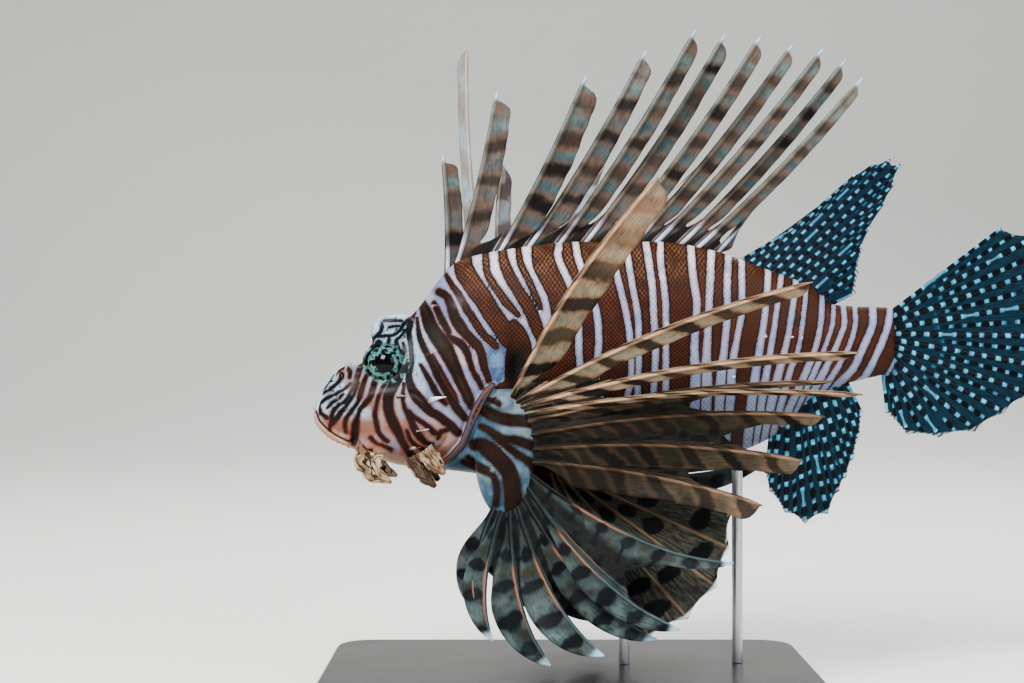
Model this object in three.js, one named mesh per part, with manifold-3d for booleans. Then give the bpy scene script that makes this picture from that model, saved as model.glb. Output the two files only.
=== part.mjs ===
// Red lionfish, life size, as a still museum model on a plain display stand.
// Millimetres, +Z up. The fish faces -X with its left side to -Y, and the origin is the centre of
// the underside of the stand's base. The fish is built round its snout tip and lifted at the end.

import * as THREE from 'three';
import { mergeVertices } from 'three/addons/utils/BufferGeometryUtils.js';
import Module from 'manifold-3d';

const wasm = await Module();
wasm.setup();

// Driving dimensions
const gap = 0.3;
const snoutFromBase = new THREE.Vector3(-105, 0, 120);
const neckCut = [[0, 50], [50, 66], [85, 74], [120, 68], [150, 61], [180, 55]];
const tailCut = 186;
const bodyEnd = 240;

// Body outline: height of the back, height of the belly and half width against length
const backLine = smoothCurve([
  [0, -2], [2, 3.6], [5, 8], [9, 12], [14, 14.2], [18.5, 15.4], [24, 20.5], [30, 27], [38, 33.5],
  [44, 40], [52, 51], [60, 58.5], [79, 63], [110, 66.3], [143, 66.4], [160, 64], [192, 53.5],
  [206, 48], [216, 40.5], [241, 39.5],
]);
const bellyLine = smoothCurve([
  [0, -5], [2, -10], [9, -16], [21, -21], [36, -26], [60, -28.5], [85, -31.3], [110, -30.5],
  [143, -27.7], [176, -20.5], [192, -13], [206, 1.5], [216, 6], [241, 12],
]);
const halfWidth = smoothCurve([
  [0, 4], [3, 7], [10, 11], [20, 14.5], [35, 18], [50, 20.5], [65, 22.5], [85, 22], [110, 20.5],
  [143, 17], [176, 12.5], [206, 8], [225, 5.6], [241, 4.5],
]);

// Swellings of the head: [x, z, reach along, reach up, height], on both sides alike
const swellings = [
  [33, 31, 9, 5, 3.2],
  [15, 11, 6, 4, 1.6],
  [26, 3, 16, 3.2, 1.4],
  [45, -6, 7, 9, 1.6],
  [30, -18, 8, 4, 1.5],
  [58, 40, 9, 6, 1.2],
];

const eyeCentre = new THREE.Vector3(31, 10.6, 15.9);
const eyeRadius = 8.2;
const eyeRimThickness = 1.25;

// Bony lumps of the head, over each eye and on the nose. A lower squareness is nearer to a box.
const lumps = [
  { centre: [33.2, 9.3, 29], reach: [9, 4.4, 6.8], tilt: -12, squareness: 0.72 },
  { centre: [14.5, 6.2, 11.6], reach: [6, 3.2, 3.6], tilt: -20, squareness: 1 },
];

// Pectoral base: a fleshy pad on each flank, and the oval on it that the rays grow from
const padCentre = new THREE.Vector3(79, 18.5, -20);
const padReach = new THREE.Vector3(12.5, 7, 26);
const rayOval = { x: 80, y: 21, along: 8.5, high: 21 };

// The tail swings a little away from the left side
const tailSwing = 9;
const swingStart = 100;
const swingLength = 140;

const baseLength = 200;
const baseWidth = 116;
const baseHeight = 12;
const baseCorner = 14;
const rodRadius = 2.2;
const rodFeet = { front: 128, rear: 175 };

// A smooth curve through a few stations that never overshoots them
function smoothCurve(stations) {
  const last = stations.length - 1;
  const rise = (i) => (stations[i + 1][1] - stations[i][1]) / (stations[i + 1][0] - stations[i][0]);
  const slopes = stations.map((_, i) => {
    if (i === 0 || i === last) return rise(Math.min(i, last - 1));
    const before = rise(i - 1);
    const after = rise(i);
    return before * after <= 0 ? 0 : (2 * before * after) / (before + after);
  });
  return (x) => {
    const at = Math.min(Math.max(x, stations[0][0]), stations[last][0]);
    let i = 0;
    while (i < last - 1 && at > stations[i + 1][0]) i += 1;
    const [x0, y0] = stations[i];
    const [x1, y1] = stations[i + 1];
    const width = x1 - x0;
    const t = (at - x0) / width;
    const rest = 1 - t;
    return y0 * rest * rest * (1 + 2 * t) + y1 * t * t * (3 - 2 * t)
      + width * t * rest * (slopes[i] * rest - slopes[i + 1] * t);
  };
}

function swingOf(x) {
  const along = Math.max(0, (x - swingStart) / swingLength);
  return tailSwing * along * along;
}

const power = (value, exponent) => Math.sign(value) * Math.abs(value) ** exponent;

// A point of the flesh at a length along the body and an angle from the top round the section
function skinPoint(x, angle) {
  const back = backLine(x);
  const belly = bellyLine(x);
  const onHead = THREE.MathUtils.smoothstep(70 - x, 0, 45);
  const middle = belly + (back - belly) * (0.47 - 0.04 * onHead);
  const across = Math.sin(angle);
  const up = Math.cos(angle);
  const fullness = up > 0 ? 1.12 : 0.86;
  let y = halfWidth(x) * power(across, fullness);
  const z = middle + power(up, 0.96) * (up > 0 ? back - middle : middle - belly);
  for (const [cx, cz, along, high, height] of swellings) {
    const far = ((x - cx) / along) ** 2 + ((z - cz) / high) ** 2;
    y += Math.sign(across) * Math.min(1, Math.abs(across) * 3) * height * Math.exp(-far);
  }
  return new THREE.Vector3(x, y + swingOf(x), z);
}

// The same point moved outward from the flesh by a small distance
function offsetPoint(x, angle, outward) {
  const point = skinPoint(x, angle);
  if (outward === 0) return point;
  const step = 0.02;
  const along = skinPoint(x + step, angle).sub(skinPoint(x - step, angle));
  const round = skinPoint(x, angle + step).sub(skinPoint(x, angle - step));
  return point.addScaledVector(along.cross(round).normalize(), outward);
}

function solidOf(points, triangles) {
  const geometry = new THREE.BufferGeometry();
  const positions = points.flatMap((point) => point.toArray());
  geometry.setAttribute('position', new THREE.Float32BufferAttribute(positions, 3));
  geometry.setIndex(triangles.flat());
  return solidFrom(geometry);
}

function solidFrom(geometry) {
  const plain = geometry.clone();
  plain.deleteAttribute('normal');
  plain.deleteAttribute('uv');
  const merged = mergeVertices(plain, 1e-4);
  const triVerts = new Uint32Array(merged.index.array);
  const vertProperties = new Float32Array(merged.attributes.position.array);
  return new wasm.Manifold(new wasm.Mesh({ numProp: 3, vertProperties, triVerts }));
}

function geometryOf(solid) {
  const mesh = solid.getMesh();
  const geometry = new THREE.BufferGeometry();
  geometry.setAttribute('position', new THREE.BufferAttribute(mesh.vertProperties, 3));
  geometry.setIndex(new THREE.BufferAttribute(mesh.triVerts, 1));
  return geometry;
}

function largestOf(solid) {
  return solid.decompose().reduce((best, piece) => (piece.volume() > best.volume() ? piece : best));
}

function joined(solids) {
  return solids.reduce((all, solid) => all.add(solid));
}

// A length of the body between two cuts; each cut gives a length for an angle in degrees
function bodyLength({ from, to, rows, sides, outward = 0, flare = 0 }) {
  const points = [];
  const triangles = [];
  for (let row = 0; row <= rows; row += 1) {
    for (let side = 0; side < sides; side += 1) {
      const angle = (2 * Math.PI * side) / sides;
      const fromTop = THREE.MathUtils.radToDeg(Math.min(angle, 2 * Math.PI - angle));
      const start = from(fromTop) - outward;
      const x = start + ((to(fromTop) + outward - start) * row) / rows;
      const rim = flare * THREE.MathUtils.smoothstep(row / rows, 0.9, 1);
      points.push(offsetPoint(x, angle, outward + rim));
    }
  }
  for (let row = 0; row < rows; row += 1) {
    for (let side = 0; side < sides; side += 1) {
      const next = (side + 1) % sides;
      const a = row * sides + side;
      const b = row * sides + next;
      triangles.push([a, a + sides, b], [b, a + sides, b + sides]);
    }
  }
  for (const [first, turned] of [[0, false], [rows * sides, true]]) {
    for (let side = 0; side < sides / 2; side += 1) {
      const right = [first + side, first + side + 1];
      const left = [first + ((sides - side) % sides), first + sides - side - 1];
      const faces = [[right[0], right[1], left[1]], [right[0], left[1], left[0]]];
      for (const face of faces) {
        if (new Set(face).size === 3) triangles.push(turned ? face.toReversed() : face);
      }
    }
  }
  return solidOf(points, triangles);
}

// A round tapered rod along a path, closed at both ends
function taperedTube(path, radius, steps, sides) {
  const points = [];
  const triangles = [];
  const up = new THREE.Vector3(0.1, 0.2, 1).normalize();
  for (let step = 0; step <= steps; step += 1) {
    const t = step / steps;
    const ahead = path(Math.min(1, t + 0.01)).sub(path(Math.max(0, t - 0.01))).normalize();
    const across = ahead.clone().cross(up).normalize();
    const over = across.clone().cross(ahead);
    for (let side = 0; side < sides; side += 1) {
      const angle = (2 * Math.PI * side) / sides;
      const rim = across.clone().multiplyScalar(Math.cos(angle)).addScaledVector(over, Math.sin(angle));
      points.push(path(t).addScaledVector(rim, radius(t)));
    }
  }
  for (let step = 0; step < steps; step += 1) {
    for (let side = 0; side < sides; side += 1) {
      const a = step * sides + side;
      const b = step * sides + ((side + 1) % sides);
      triangles.push([a, a + sides, b], [b, a + sides, b + sides]);
    }
  }
  const last = steps * sides;
  for (let side = 1; side < sides - 1; side += 1) {
    triangles.push([0, side, side + 1], [last, last + side + 1, last + side]);
  }
  return solidOf(points, triangles);
}

// How a fin lies at a point of a ray: from ray to ray, and out of the sheet
function finFrame(before, ray, after, t) {
  const far = Math.max(t, 0.2);
  const toward = before === after ? ray.toward.clone() : after.path(far).sub(before.path(far));
  const near = Math.max(t, 0);
  const along = ray.path(Math.min(1, near + 0.04)).sub(ray.path(near - 0.04)).normalize();
  toward.addScaledVector(along, -toward.dot(along)).normalize();
  toward.applyAxisAngle(along, ray.lean ?? 0);
  return { centre: ray.path(t), toward, out: along.clone().cross(toward) };
}

// A fin as one closed sheet: each ray is a ridge with membrane in front of it and behind it, and
// webs join each ray to the next from the root up to a given row
function finSheet({ rays, rows, webRows, fullWeb = false }) {
  const columns = [];
  rays.forEach((ray, index) => {
    const before = rays[Math.max(0, index - 1)];
    const after = rays[Math.min(rays.length - 1, index + 1)];
    const offsets = [(t) => -ray.front(t), () => 0, (t) => ray.ridge(t) * 1.2];
    if (!fullWeb) offsets.push((t) => ray.ridge(t) * 1.2 + ray.back(t));
    offsets.forEach((offset, column) => {
      const top = [];
      const bottom = [];
      for (const t of rows) {
        const { centre, toward, out } = finFrame(before, ray, after, t);
        const thick = column === 1 ? ray.ridge(t) : ray.sheet;
        centre.addScaledVector(toward, offset(t));
        top.push(centre.clone().addScaledVector(out, thick));
        bottom.push(centre.clone().addScaledVector(out, -thick));
      }
      const last = column === offsets.length - 1;
      columns.push({ top, bottom, joinedRows: last ? webRows[index] : rows.length });
    });
  });
  const points = columns.flatMap((column) => [...column.top, ...column.bottom]);
  const place = (column, row, below) => (column * 2 + (below ? 1 : 0)) * rows.length + row;
  const present = (column, row) => {
    if (column < 0 || column >= columns.length - 1 || row < 0 || row >= rows.length - 1) return false;
    return row < columns[column].joinedRows;
  };
  const triangles = [];
  const wall = (c0, r0, c1, r1) => triangles.push(
    [place(c0, r0, false), place(c1, r1, true), place(c0, r0, true)],
    [place(c0, r0, false), place(c1, r1, false), place(c1, r1, true)],
  );
  for (let c = 0; c < columns.length - 1; c += 1) {
    for (let r = 0; r < rows.length - 1; r += 1) {
      if (!present(c, r)) continue;
      for (const below of [false, true]) {
        const [a, b] = [place(c, r, below), place(c, r + 1, below)];
        const [d, e] = [place(c + 1, r + 1, below), place(c + 1, r, below)];
        for (const half of [[a, b, d], [a, d, e]]) triangles.push(below ? half.toReversed() : half);
      }
      if (!present(c - 1, r)) wall(c, r + 1, c, r);
      if (!present(c + 1, r)) wall(c + 1, r, c + 1, r + 1);
      if (!present(c, r - 1)) wall(c, r, c + 1, r);
      if (!present(c, r + 1)) wall(c + 1, r + 1, c, r + 1);
    }
  }
  return solidOf(points, triangles);
}

const degrees = THREE.MathUtils.degToRad;

// A ray's centre line: length, direction above +X seen from the side, swing out of that view, bow of
// its middle and hook of its tip
function rayPath({ root, length, direction, swing = 0, bow = 0, hook = 0, sunk = 4 }) {
  const ahead = new THREE.Vector3(
    Math.cos(degrees(direction)) * Math.cos(degrees(swing)),
    Math.sin(degrees(swing)),
    Math.sin(degrees(direction)) * Math.cos(degrees(swing)),
  );
  const bowed = new THREE.Vector3(-Math.sin(degrees(direction)), 0, Math.cos(degrees(direction)));
  return (t) => {
    const past = Math.max(t, 0);
    const start = root.clone().addScaledVector(ahead, t < 0 ? -sunk : 0);
    const bend = 4 * bow * past * (1 - past) + hook * (past ** 5 - past);
    return start.addScaledVector(ahead, length * past).addScaledVector(bowed, bend);
  };
}

const shades = {
  flesh: { color: 0x8a4a36, roughness: 0.5, metalness: 0 },
  fin: { color: 0x9c6a4c, roughness: 0.5, metalness: 0 },
  clear: { color: 0x8fa3b0, roughness: 0.45, metalness: 0 },
  dark: { color: 0x4a4038, roughness: 0.5, metalness: 0 },
  eye: { color: 0x1a2226, roughness: 0.08, metalness: 0 },
  base: { color: 0x1d1d1f, roughness: 0.4, metalness: 0 },
  rod: { color: 0xb8bcc0, roughness: 0.3, metalness: 1 },
};

const group = new THREE.Group();

function addNode(name, solid, shade) {
  const material = new THREE.MeshStandardMaterial(shades[shade]);
  const mesh = new THREE.Mesh(geometryOf(largestOf(solid)), material);
  mesh.name = name;
  mesh.position.copy(snoutFromBase);
  group.add(mesh);
}

// Flesh lengths, and the same grown by the gap for cutting whatever grows out of them
const neck = smoothCurve(neckCut);
const lengths = {
  head: { from: () => 0, to: (angle) => neck(angle) - gap, rows: 20, sides: 32, flare: 0.7 },
  trunk: { from: neck, to: () => tailCut - gap / 2, rows: 18, sides: 26 },
  tail: { from: () => tailCut + gap / 2, to: () => bodyEnd, rows: 7, sides: 20 },
};

function pad(side, outward) {
  const geometry = new THREE.SphereGeometry(1, 16, 12);
  geometry.scale(padReach.x + outward, padReach.y + outward, padReach.z + outward);
  geometry.translate(padCentre.x, side * padCentre.y, padCentre.z);
  return solidFrom(geometry);
}

// Head: skull and cheeks with eye sockets, rims, brows, nostrils, lips and the line of the mouth
function mouthLine(reach) {
  return (t) => {
    const x = 0.4 + 15.6 * (2 * t - 1) ** 2;
    const side = Math.sign(t - 0.5);
    const across = side * halfWidth(x) * 0.86 * Math.min(1, Math.abs(2 * t - 1) * 4) * reach;
    return new THREE.Vector3(x * reach + (1 - reach) * 16, across, bellyLine(x) + 2.2);
  };
}

function mouthSlit() {
  const outer = mouthLine(1.35);
  const inner = mouthLine(0.62);
  const steps = 14;
  const points = [];
  const triangles = [];
  for (let step = 0; step <= steps; step += 1) {
    for (const [line, lift] of [[outer, 0.35], [outer, -0.35], [inner, -0.2], [inner, 0.2]]) {
      points.push(line(step / steps).add(new THREE.Vector3(0, 0, lift)));
    }
  }
  for (let step = 0; step < steps; step += 1) {
    for (let side = 0; side < 4; side += 1) {
      const a = step * 4 + side;
      const b = step * 4 + ((side + 1) % 4);
      triangles.push([a, a + 4, b], [b, a + 4, b + 4]);
    }
  }
  const last = steps * 4;
  triangles.push([0, 1, 2], [0, 2, 3], [last, last + 2, last + 1], [last, last + 3, last + 2]);
  return solidOf(points, triangles);
}

function lip(drop, thickness) {
  const line = mouthLine(0.97);
  const fade = (t) => Math.sin(Math.PI * (0.12 + 0.76 * t)) ** 0.6;
  const path = (t) => line(t).add(new THREE.Vector3(0, 0, drop));
  return taperedTube(path, (t) => thickness * fade(t), 12, 6);
}

function eyeRim(side) {
  const rim = new THREE.TorusGeometry(eyeRadius + 0.7, eyeRimThickness, 6, 16);
  rim.rotateX(degrees(90 + side * 16));
  rim.rotateZ(side * degrees(14));
  rim.translate(eyeCentre.x - 0.6, side * (eyeCentre.y + 2.4), eyeCentre.z + 0.6);
  return solidFrom(rim);
}

function boneLump({ centre, reach, tilt, squareness }, side) {
  const lump = new THREE.SphereGeometry(1, 10, 8);
  const corners = lump.attributes.position;
  corners.array.forEach((value, index) => {
    corners.array[index] = power(Math.abs(value) < 1e-6 ? 0 : value, squareness);
  });
  lump.scale(...reach);
  lump.rotateY(degrees(tilt));
  lump.translate(centre[0], side * centre[1], centre[2]);
  return solidFrom(lump);
}

function spike(side, x, angle, length, radius, rise) {
  const turn = side < 0 ? degrees(360 - angle) : degrees(angle);
  const root = offsetPoint(x, turn, -radius);
  const tip = offsetPoint(x + length, turn, radius * 0.9 + rise);
  return taperedTube((t) => root.clone().lerp(tip, t), (t) => radius * (1 - 0.85 * t), 1, 5);
}

function nostril(side) {
  const place = offsetPoint(14.5, side < 0 ? degrees(360 - 42) : degrees(42), -0.6);
  const tip = place.clone().add(new THREE.Vector3(-0.6, side * 1.0, 2.6));
  const wall = taperedTube((t) => place.clone().lerp(tip, t), () => 1.3, 1, 8);
  const bore = taperedTube((t) => tip.clone().lerp(place, t * 1.3 - 0.2), () => 0.7, 1, 8);
  return { wall, bore };
}

// Skin flaps that hang at the corner of the mouth and below the cheek
function cheekFlap({ x, angle, side, length, wide, direction, swing }) {
  const root = offsetPoint(x, degrees(side < 0 ? 360 - angle : angle), -0.5);
  const path = rayPath({ root, length, direction, swing: side * swing, bow: 1.2, sunk: 2 });
  const leaf = (t) => Math.max(0.5, wide * Math.sin(Math.PI * Math.max(0.12, t * 0.86 + 0.12)));
  const toward = new THREE.Vector3(0, side * 0.3, 1);
  const flap = { path, front: leaf, back: leaf, ridge: () => 0.55, sheet: 0.3, toward };
  return finSheet({ rays: [flap], rows: [-0.1, 0.15, 0.5, 0.85, 1], webRows: [0] });
}

const flaps = [
  { x: 17, angle: 150, length: 21, wide: 4.6, direction: -38, swing: 10 },
  { x: 41, angle: 152, length: 14, wide: 3, direction: -44, swing: 8 },
  { x: 45, angle: 140, length: 12, wide: 3.2, direction: -28, swing: 10 },
];
// Spikes of the cheek and brow: length along the head, angle from the top, length, radius, rise
const spikes = [
  [46, 97, 6.5, 1.3, 0.6], [44, 116, 5, 1.1, 0.4], [41, 133, 4.5, 1, 0.3],
  [36, 84, 4, 1, 0.2], [29, 92, 3.5, 0.9, 0.1], [48, 70, 4.5, 1, 0.3], [38, 33, 4.5, 1.1, 0.4],
  [50, 40, 4.5, 1, 0.4],
];

function buildHead() {
  let head = bodyLength(lengths.head);
  for (const side of [-1, 1]) {
    const socket = solidFrom(new THREE.SphereGeometry(eyeRadius + gap, 16, 10)
      .translate(eyeCentre.x, side * eyeCentre.y, eyeCentre.z));
    const nose = nostril(side);
    const additions = [
      ...lumps.map((lump) => boneLump(lump, side)),
      eyeRim(side),
      nose.wall,
      ...spikes.map((sizes) => spike(side, ...sizes)),
      ...flaps.map((flap) => cheekFlap({ ...flap, side })),
    ];
    head = joined([head, ...additions]).subtract(socket).subtract(nose.bore);
  }
  return joined([head, lip(1.5, 1.5), lip(-1.1, 1.3)]).subtract(mouthSlit());
}

const head = buildHead();
const headGrown = bodyLength({ ...lengths.head, outward: gap });
const trunkFlesh = joined([bodyLength(lengths.trunk), pad(-1, 0), pad(1, 0)]).subtract(headGrown);
const fleshGrown = joined([
  headGrown,
  bodyLength({ ...lengths.trunk, outward: gap }),
  bodyLength({ ...lengths.tail, outward: gap }),
  pad(-1, gap),
  pad(1, gap),
]);
const clear = (solid) => largestOf(solid.subtract(fleshGrown));

addNode('head', head, 'flesh');
addNode('trunk', trunkFlesh, 'flesh');
addNode('tail_stem', bodyLength(lengths.tail), 'flesh');

for (const [name, side] of [['eye_left', -1], ['eye_right', 1]]) {
  const ball = new THREE.SphereGeometry(eyeRadius, 16, 10);
  ball.translate(eyeCentre.x, side * eyeCentre.y, eyeCentre.z);
  addNode(name, solidFrom(ball), 'eye');
}

// Spiny dorsal fin: twelve stiff spines, each with its own strip of membrane, joined low down.
// The thirteenth is the leading edge of the soft fin.
const spineRoots = [54.9, 59, 76.4, 88.3, 101.1, 111.8, 122.6, 132, 140.7, 151, 158, 166.3];
const spineLengths = [49.5, 74, 81, 96, 104.5, 106, 105, 107, 105, 104, 97, 30];
const spineAngles = [92, 77, 63.7, 59.2, 57.5, 56.2, 54.2, 51.4, 49.3, 48.1, 45.9, 52];
const stripWidths = [5.2, 7, 8.3, 6.4, 5.6, 5.6, 5.3, 4.8, 4.2, 3.9, 3.5, 2.6];

function dorsalSpines() {
  const rays = spineRoots.map((x, index) => {
    const length = spineLengths[index];
    const root = new THREE.Vector3(x, swingOf(x), backLine(x) - 1);
    const swing = (index % 2 ? 1 : -1) * (2 + (index % 3));
    const full = (t) => THREE.MathUtils.smoothstep(t, 0.04, 0.25) * (t > 0.99 ? 0 : 1);
    return {
      path: rayPath({ root, length, direction: spineAngles[index], swing, bow: -length * 0.018 }),
      front: (t) => 1.15 - 0.75 * t,
      ridge: (t) => 1.2 - 0.85 * t,
      back: (t) => 0.6 + stripWidths[index] * full(t),
      sheet: 0.3,
    };
  });
  return finSheet({ rays, rows: [-0.05, 0.06, 0.15, 0.4, 0.93, 1], webRows: rays.map(() => 2) });
}

addNode('dorsal_spines', clear(dorsalSpines()), 'fin');

// Median fins: rays with full webs between them, ridges ending a little past the membrane
const fanRows = [-0.08, 0.12, 0.36, 0.62, 0.84, 1];

function fanFin({ roots, lengths: reach, angles, swing, thick = 0.8 }) {
  const rays = roots.map((root, index) => ({
    path: rayPath({ root, length: reach[index], direction: angles[index], swing }),
    front: (t) => thick * (1.25 - 0.6 * t),
    back: () => 0,
    ridge: (t) => thick * (1 - 0.55 * t),
    sheet: 0.28,
  }));
  return finSheet({ rays, rows: fanRows, webRows: rays.map(() => fanRows.length), fullWeb: true });
}

function between(from, to, count) {
  return Array.from({ length: count }, (_, i) => from + ((to - from) * i) / (count - 1));
}

const softDorsal = fanFin({
  roots: between(176, 214, 12).map((x) => new THREE.Vector3(x, swingOf(x), backLine(x) - 1)),
  lengths: [26, 45, 57, 65, 69, 69, 60, 50, 37, 28, 19, 12],
  angles: [31, 39, 43, 44, 44, 43, 42, 42, 42, 42, 36, 25],
  swing: 3,
});
addNode('dorsal_soft_fin', clear(softDorsal), 'clear');

const analFin = fanFin({
  roots: between(189, 221, 10).map((x) => new THREE.Vector3(x, swingOf(x), bellyLine(x) + 1)),
  lengths: [16, 26, 38, 47, 48, 42, 38, 32, 24, 15],
  angles: [-98, -98, -91, -85, -78, -75, -74, -72, -68, -63],
  swing: 2,
});
addNode('anal_fin', clear(analFin), 'clear');

const caudalFin = fanFin({
  roots: between(0, 1, 12).map((u) => new THREE.Vector3(238.5 - 2 * u, swingOf(239), 36 - 21 * u)),
  lengths: [62, 73, 77, 77, 76, 72, 67, 59, 52, 42, 33, 20],
  angles: [37, 29, 19, 9, -1, -10, -19, -28, -40, -54, -70, -84],
  swing: 5,
  thick: 0.9,
});
addNode('caudal_fin', clear(caudalFin), 'clear');

// Pelvic fins: a spine and five rays under the pectoral bases
function pelvicFin(side, lift) {
  return fanFin({
    roots: between(98, 107, 6).map((x) => new THREE.Vector3(x, side * 8, bellyLine(x) + 1.5)),
    lengths: [66, 75, 77, 76, 71, 66],
    angles: [-71, -60, -48, -36, -24, -12].map((angle) => angle + lift),
    swing: side * 14,
  });
}
addNode('pelvic_fin_left', clear(pelvicFin(-1, 0)), 'dark');
addNode('pelvic_fin_right', clear(pelvicFin(1, -3)), 'dark');

// Pectoral fins: fifteen long rays fanned round the rear edge of the fleshy pad. The upper ones are
// banners, and the lower ones are feathers with hooked tips and webs between their lower halves.
const rayTurns = [5, 18, 30, 42, 54, 70, 86, 99, 110, 126, 142, 159, 176, 193, 210];
const firstFeather = 8;
const pectoralRows = [-0.03, 0.14, 0.34, 0.58, 0.85, 1];
const upperWebRows = [1, 2, 2, 2, 3, 4, 4, 0];
const lowerWebRows = [3, 3, 3, 3, 2, 2, 0];
const pectorals = {
  left: {
    side: -1,
    lengths: [115, 130, 136, 134, 123, 118, 109, 94, 89, 84, 78, 70, 65, 54, 46],
    angles: [57, 23, 10, 4, 8, 4, -2, -10, -23, -42, -46, -59, -75, -94, -99],
    swings: [29, 22, 17, 13, 7, 5, 4, 8, 13, 16, 11, 16, 12, 7, 4],
    widths: [11, 5, 3, 3, 4, 5, 7, 7, 9, 9, 9, 9, 8, 7, 5],
    leans: [0, 0],
  },
  right: {
    side: 1,
    lengths: [160, 130, 141, 172, 133, 137, 123, 118, 113, 97, 85, 78, 72, 61, 41],
    angles: [97, 93, 72, 52, 31, 24, 17, 9, 1, -9, -23, -43, -52, -66, -83],
    swings: [12, 33, 31, 24, 26, 22, 19, 17, 15, 14, 15, 15, 14, 12, 7],
    widths: [4.5, 9, 7, 5, 5, 5, 5, 5, 7, 8, 9, 9, 8, 7, 5],
    leans: [40, 0],
  },
};

function pectoralFin({ side, lengths: reach, angles, swings, widths, leans }, first, webRows) {
  const rays = webRows.map((_, step) => {
    const index = first + step;
    const low = index >= firstFeather;
    const turn = degrees(rayTurns[index]);
    const z = padCentre.z + rayOval.high * Math.cos(turn);
    const root = new THREE.Vector3(rayOval.x + rayOval.along * Math.sin(turn), side * rayOval.y, z);
    const shape = {
      root,
      length: reach[index],
      direction: angles[index],
      swing: side * swings[index],
      bow: reach[index] * (low ? -0.05 : 0.035),
      hook: low ? 5 : 0,
    };
    const full = (t) => (low
      ? THREE.MathUtils.smoothstep(t, 0.1, 0.55) * (1 - 0.35 * THREE.MathUtils.smoothstep(t, 0.6, 0.85))
      : THREE.MathUtils.smoothstep(t, 0.05, 0.4)) * (t > 0.99 ? 0.1 : 1);
    return {
      path: rayPath(shape),
      front: (t) => 1.1 - 0.6 * t,
      ridge: (t) => 1 - 0.6 * t,
      back: (t) => 0.6 + widths[index] * full(t),
      lean: degrees(leans[index] ?? 0),
      sheet: 0.28,
    };
  });
  return finSheet({ rays, rows: pectoralRows, webRows });
}

for (const [name, fin] of Object.entries(pectorals)) {
  addNode(`pectoral_upper_${name}`, clear(pectoralFin(fin, 0, upperWebRows)), 'fin');
  addNode(`pectoral_lower_${name}`, clear(pectoralFin(fin, firstFeather, lowerWebRows)), 'dark');
}

// Display stand: a flat base with softened edges and two rods up to the belly
function standBase() {
  const shape = new THREE.Shape();
  const half = { x: baseLength / 2 - 1, y: baseWidth / 2 - 1 };
  const straight = { x: half.x - baseCorner, y: half.y - baseCorner };
  const corners = [[1, 1, 0], [-1, 1, 90], [-1, -1, 180], [1, -1, 270]];
  for (const [sx, sy, start] of corners) {
    for (let step = 0; step <= 5; step += 1) {
      const angle = degrees(start + 18 * step);
      const x = sx * straight.x + baseCorner * Math.cos(angle);
      const y = sy * straight.y + baseCorner * Math.sin(angle);
      if (start === 0 && step === 0) shape.moveTo(x, y);
      else shape.lineTo(x, y);
    }
  }
  const slab = new THREE.ExtrudeGeometry(shape, {
    depth: baseHeight - 2, bevelEnabled: true, bevelThickness: 1, bevelSize: 1, bevelSegments: 1,
  });
  slab.translate(-snoutFromBase.x, -snoutFromBase.y, 1 - snoutFromBase.z);
  return solidFrom(slab);
}
addNode('stand_base', standBase(), 'base');

for (const [name, x] of Object.entries(rodFeet)) {
  const foot = baseHeight - snoutFromBase.z + gap;
  const height = bellyLine(x) - foot + 6;
  const rod = new THREE.CylinderGeometry(rodRadius, rodRadius, height, 16);
  rod.rotateX(Math.PI / 2);
  rod.translate(x, swingOf(x), foot + height / 2);
  addNode(`stand_rod_${name}`, clear(solidFrom(rod)), 'rod');
}

export default group;
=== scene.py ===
"""Red lionfish, life size, as a museum shows it: a painted cast with spread fins on a plain stand.

Lengths inside this script are millimetres in the fish's own frame, with the snout tip at the
origin, the tail towards +X, the fish's left side towards -Y and +Z up, until a piece is placed.
"""

import math

import bpy
import numpy as np
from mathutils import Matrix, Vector


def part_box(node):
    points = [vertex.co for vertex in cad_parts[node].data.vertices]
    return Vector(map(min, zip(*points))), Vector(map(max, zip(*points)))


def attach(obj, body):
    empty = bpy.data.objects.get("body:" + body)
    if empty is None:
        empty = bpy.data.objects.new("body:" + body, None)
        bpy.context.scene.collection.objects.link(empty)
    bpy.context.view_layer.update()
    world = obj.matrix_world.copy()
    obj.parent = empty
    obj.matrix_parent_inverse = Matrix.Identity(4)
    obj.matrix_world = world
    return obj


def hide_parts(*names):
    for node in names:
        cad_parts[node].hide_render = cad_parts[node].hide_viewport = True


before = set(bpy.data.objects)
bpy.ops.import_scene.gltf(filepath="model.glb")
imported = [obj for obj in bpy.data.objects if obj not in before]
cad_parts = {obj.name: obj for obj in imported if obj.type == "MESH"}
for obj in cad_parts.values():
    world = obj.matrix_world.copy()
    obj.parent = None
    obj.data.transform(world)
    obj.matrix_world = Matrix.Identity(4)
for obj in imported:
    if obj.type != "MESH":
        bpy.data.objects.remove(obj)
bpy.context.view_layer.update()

# Camera: level, square to the fish's left side, 700 mm from its middle plane. A pixel of the
# 1024 by 683 picture is 0.4127 mm in that plane.
MM = 0.001
snout_before_base = 105
snout_height = 120
stand_low, stand_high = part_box("stand_base")
base_middle = (stand_low[0] + stand_high[0]) / 2 / MM
snout = np.array([base_middle - snout_before_base, 0, stand_low[2] / MM + snout_height])


def placed(point):
    """A point of the fish's frame, in metres in the model's frame"""
    return Vector((np.asarray(point, dtype=float) + snout) * MM)


view_distance = 700
picture_middle = np.array([81.7, 25])
picture_width = 1024 * 0.4127
bpy.ops.object.select_all(action="DESELECT")
viewpoint = placed((picture_middle[0], -view_distance, picture_middle[1]))
bpy.ops.object.camera_add(location=viewpoint, rotation=(math.pi / 2, 0, 0))
camera = bpy.context.object
camera.data.sensor_width = 36
camera.data.lens = camera.data.sensor_width * view_distance / picture_width
camera.data.clip_start = 0.01
bpy.context.scene.camera = camera


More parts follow.
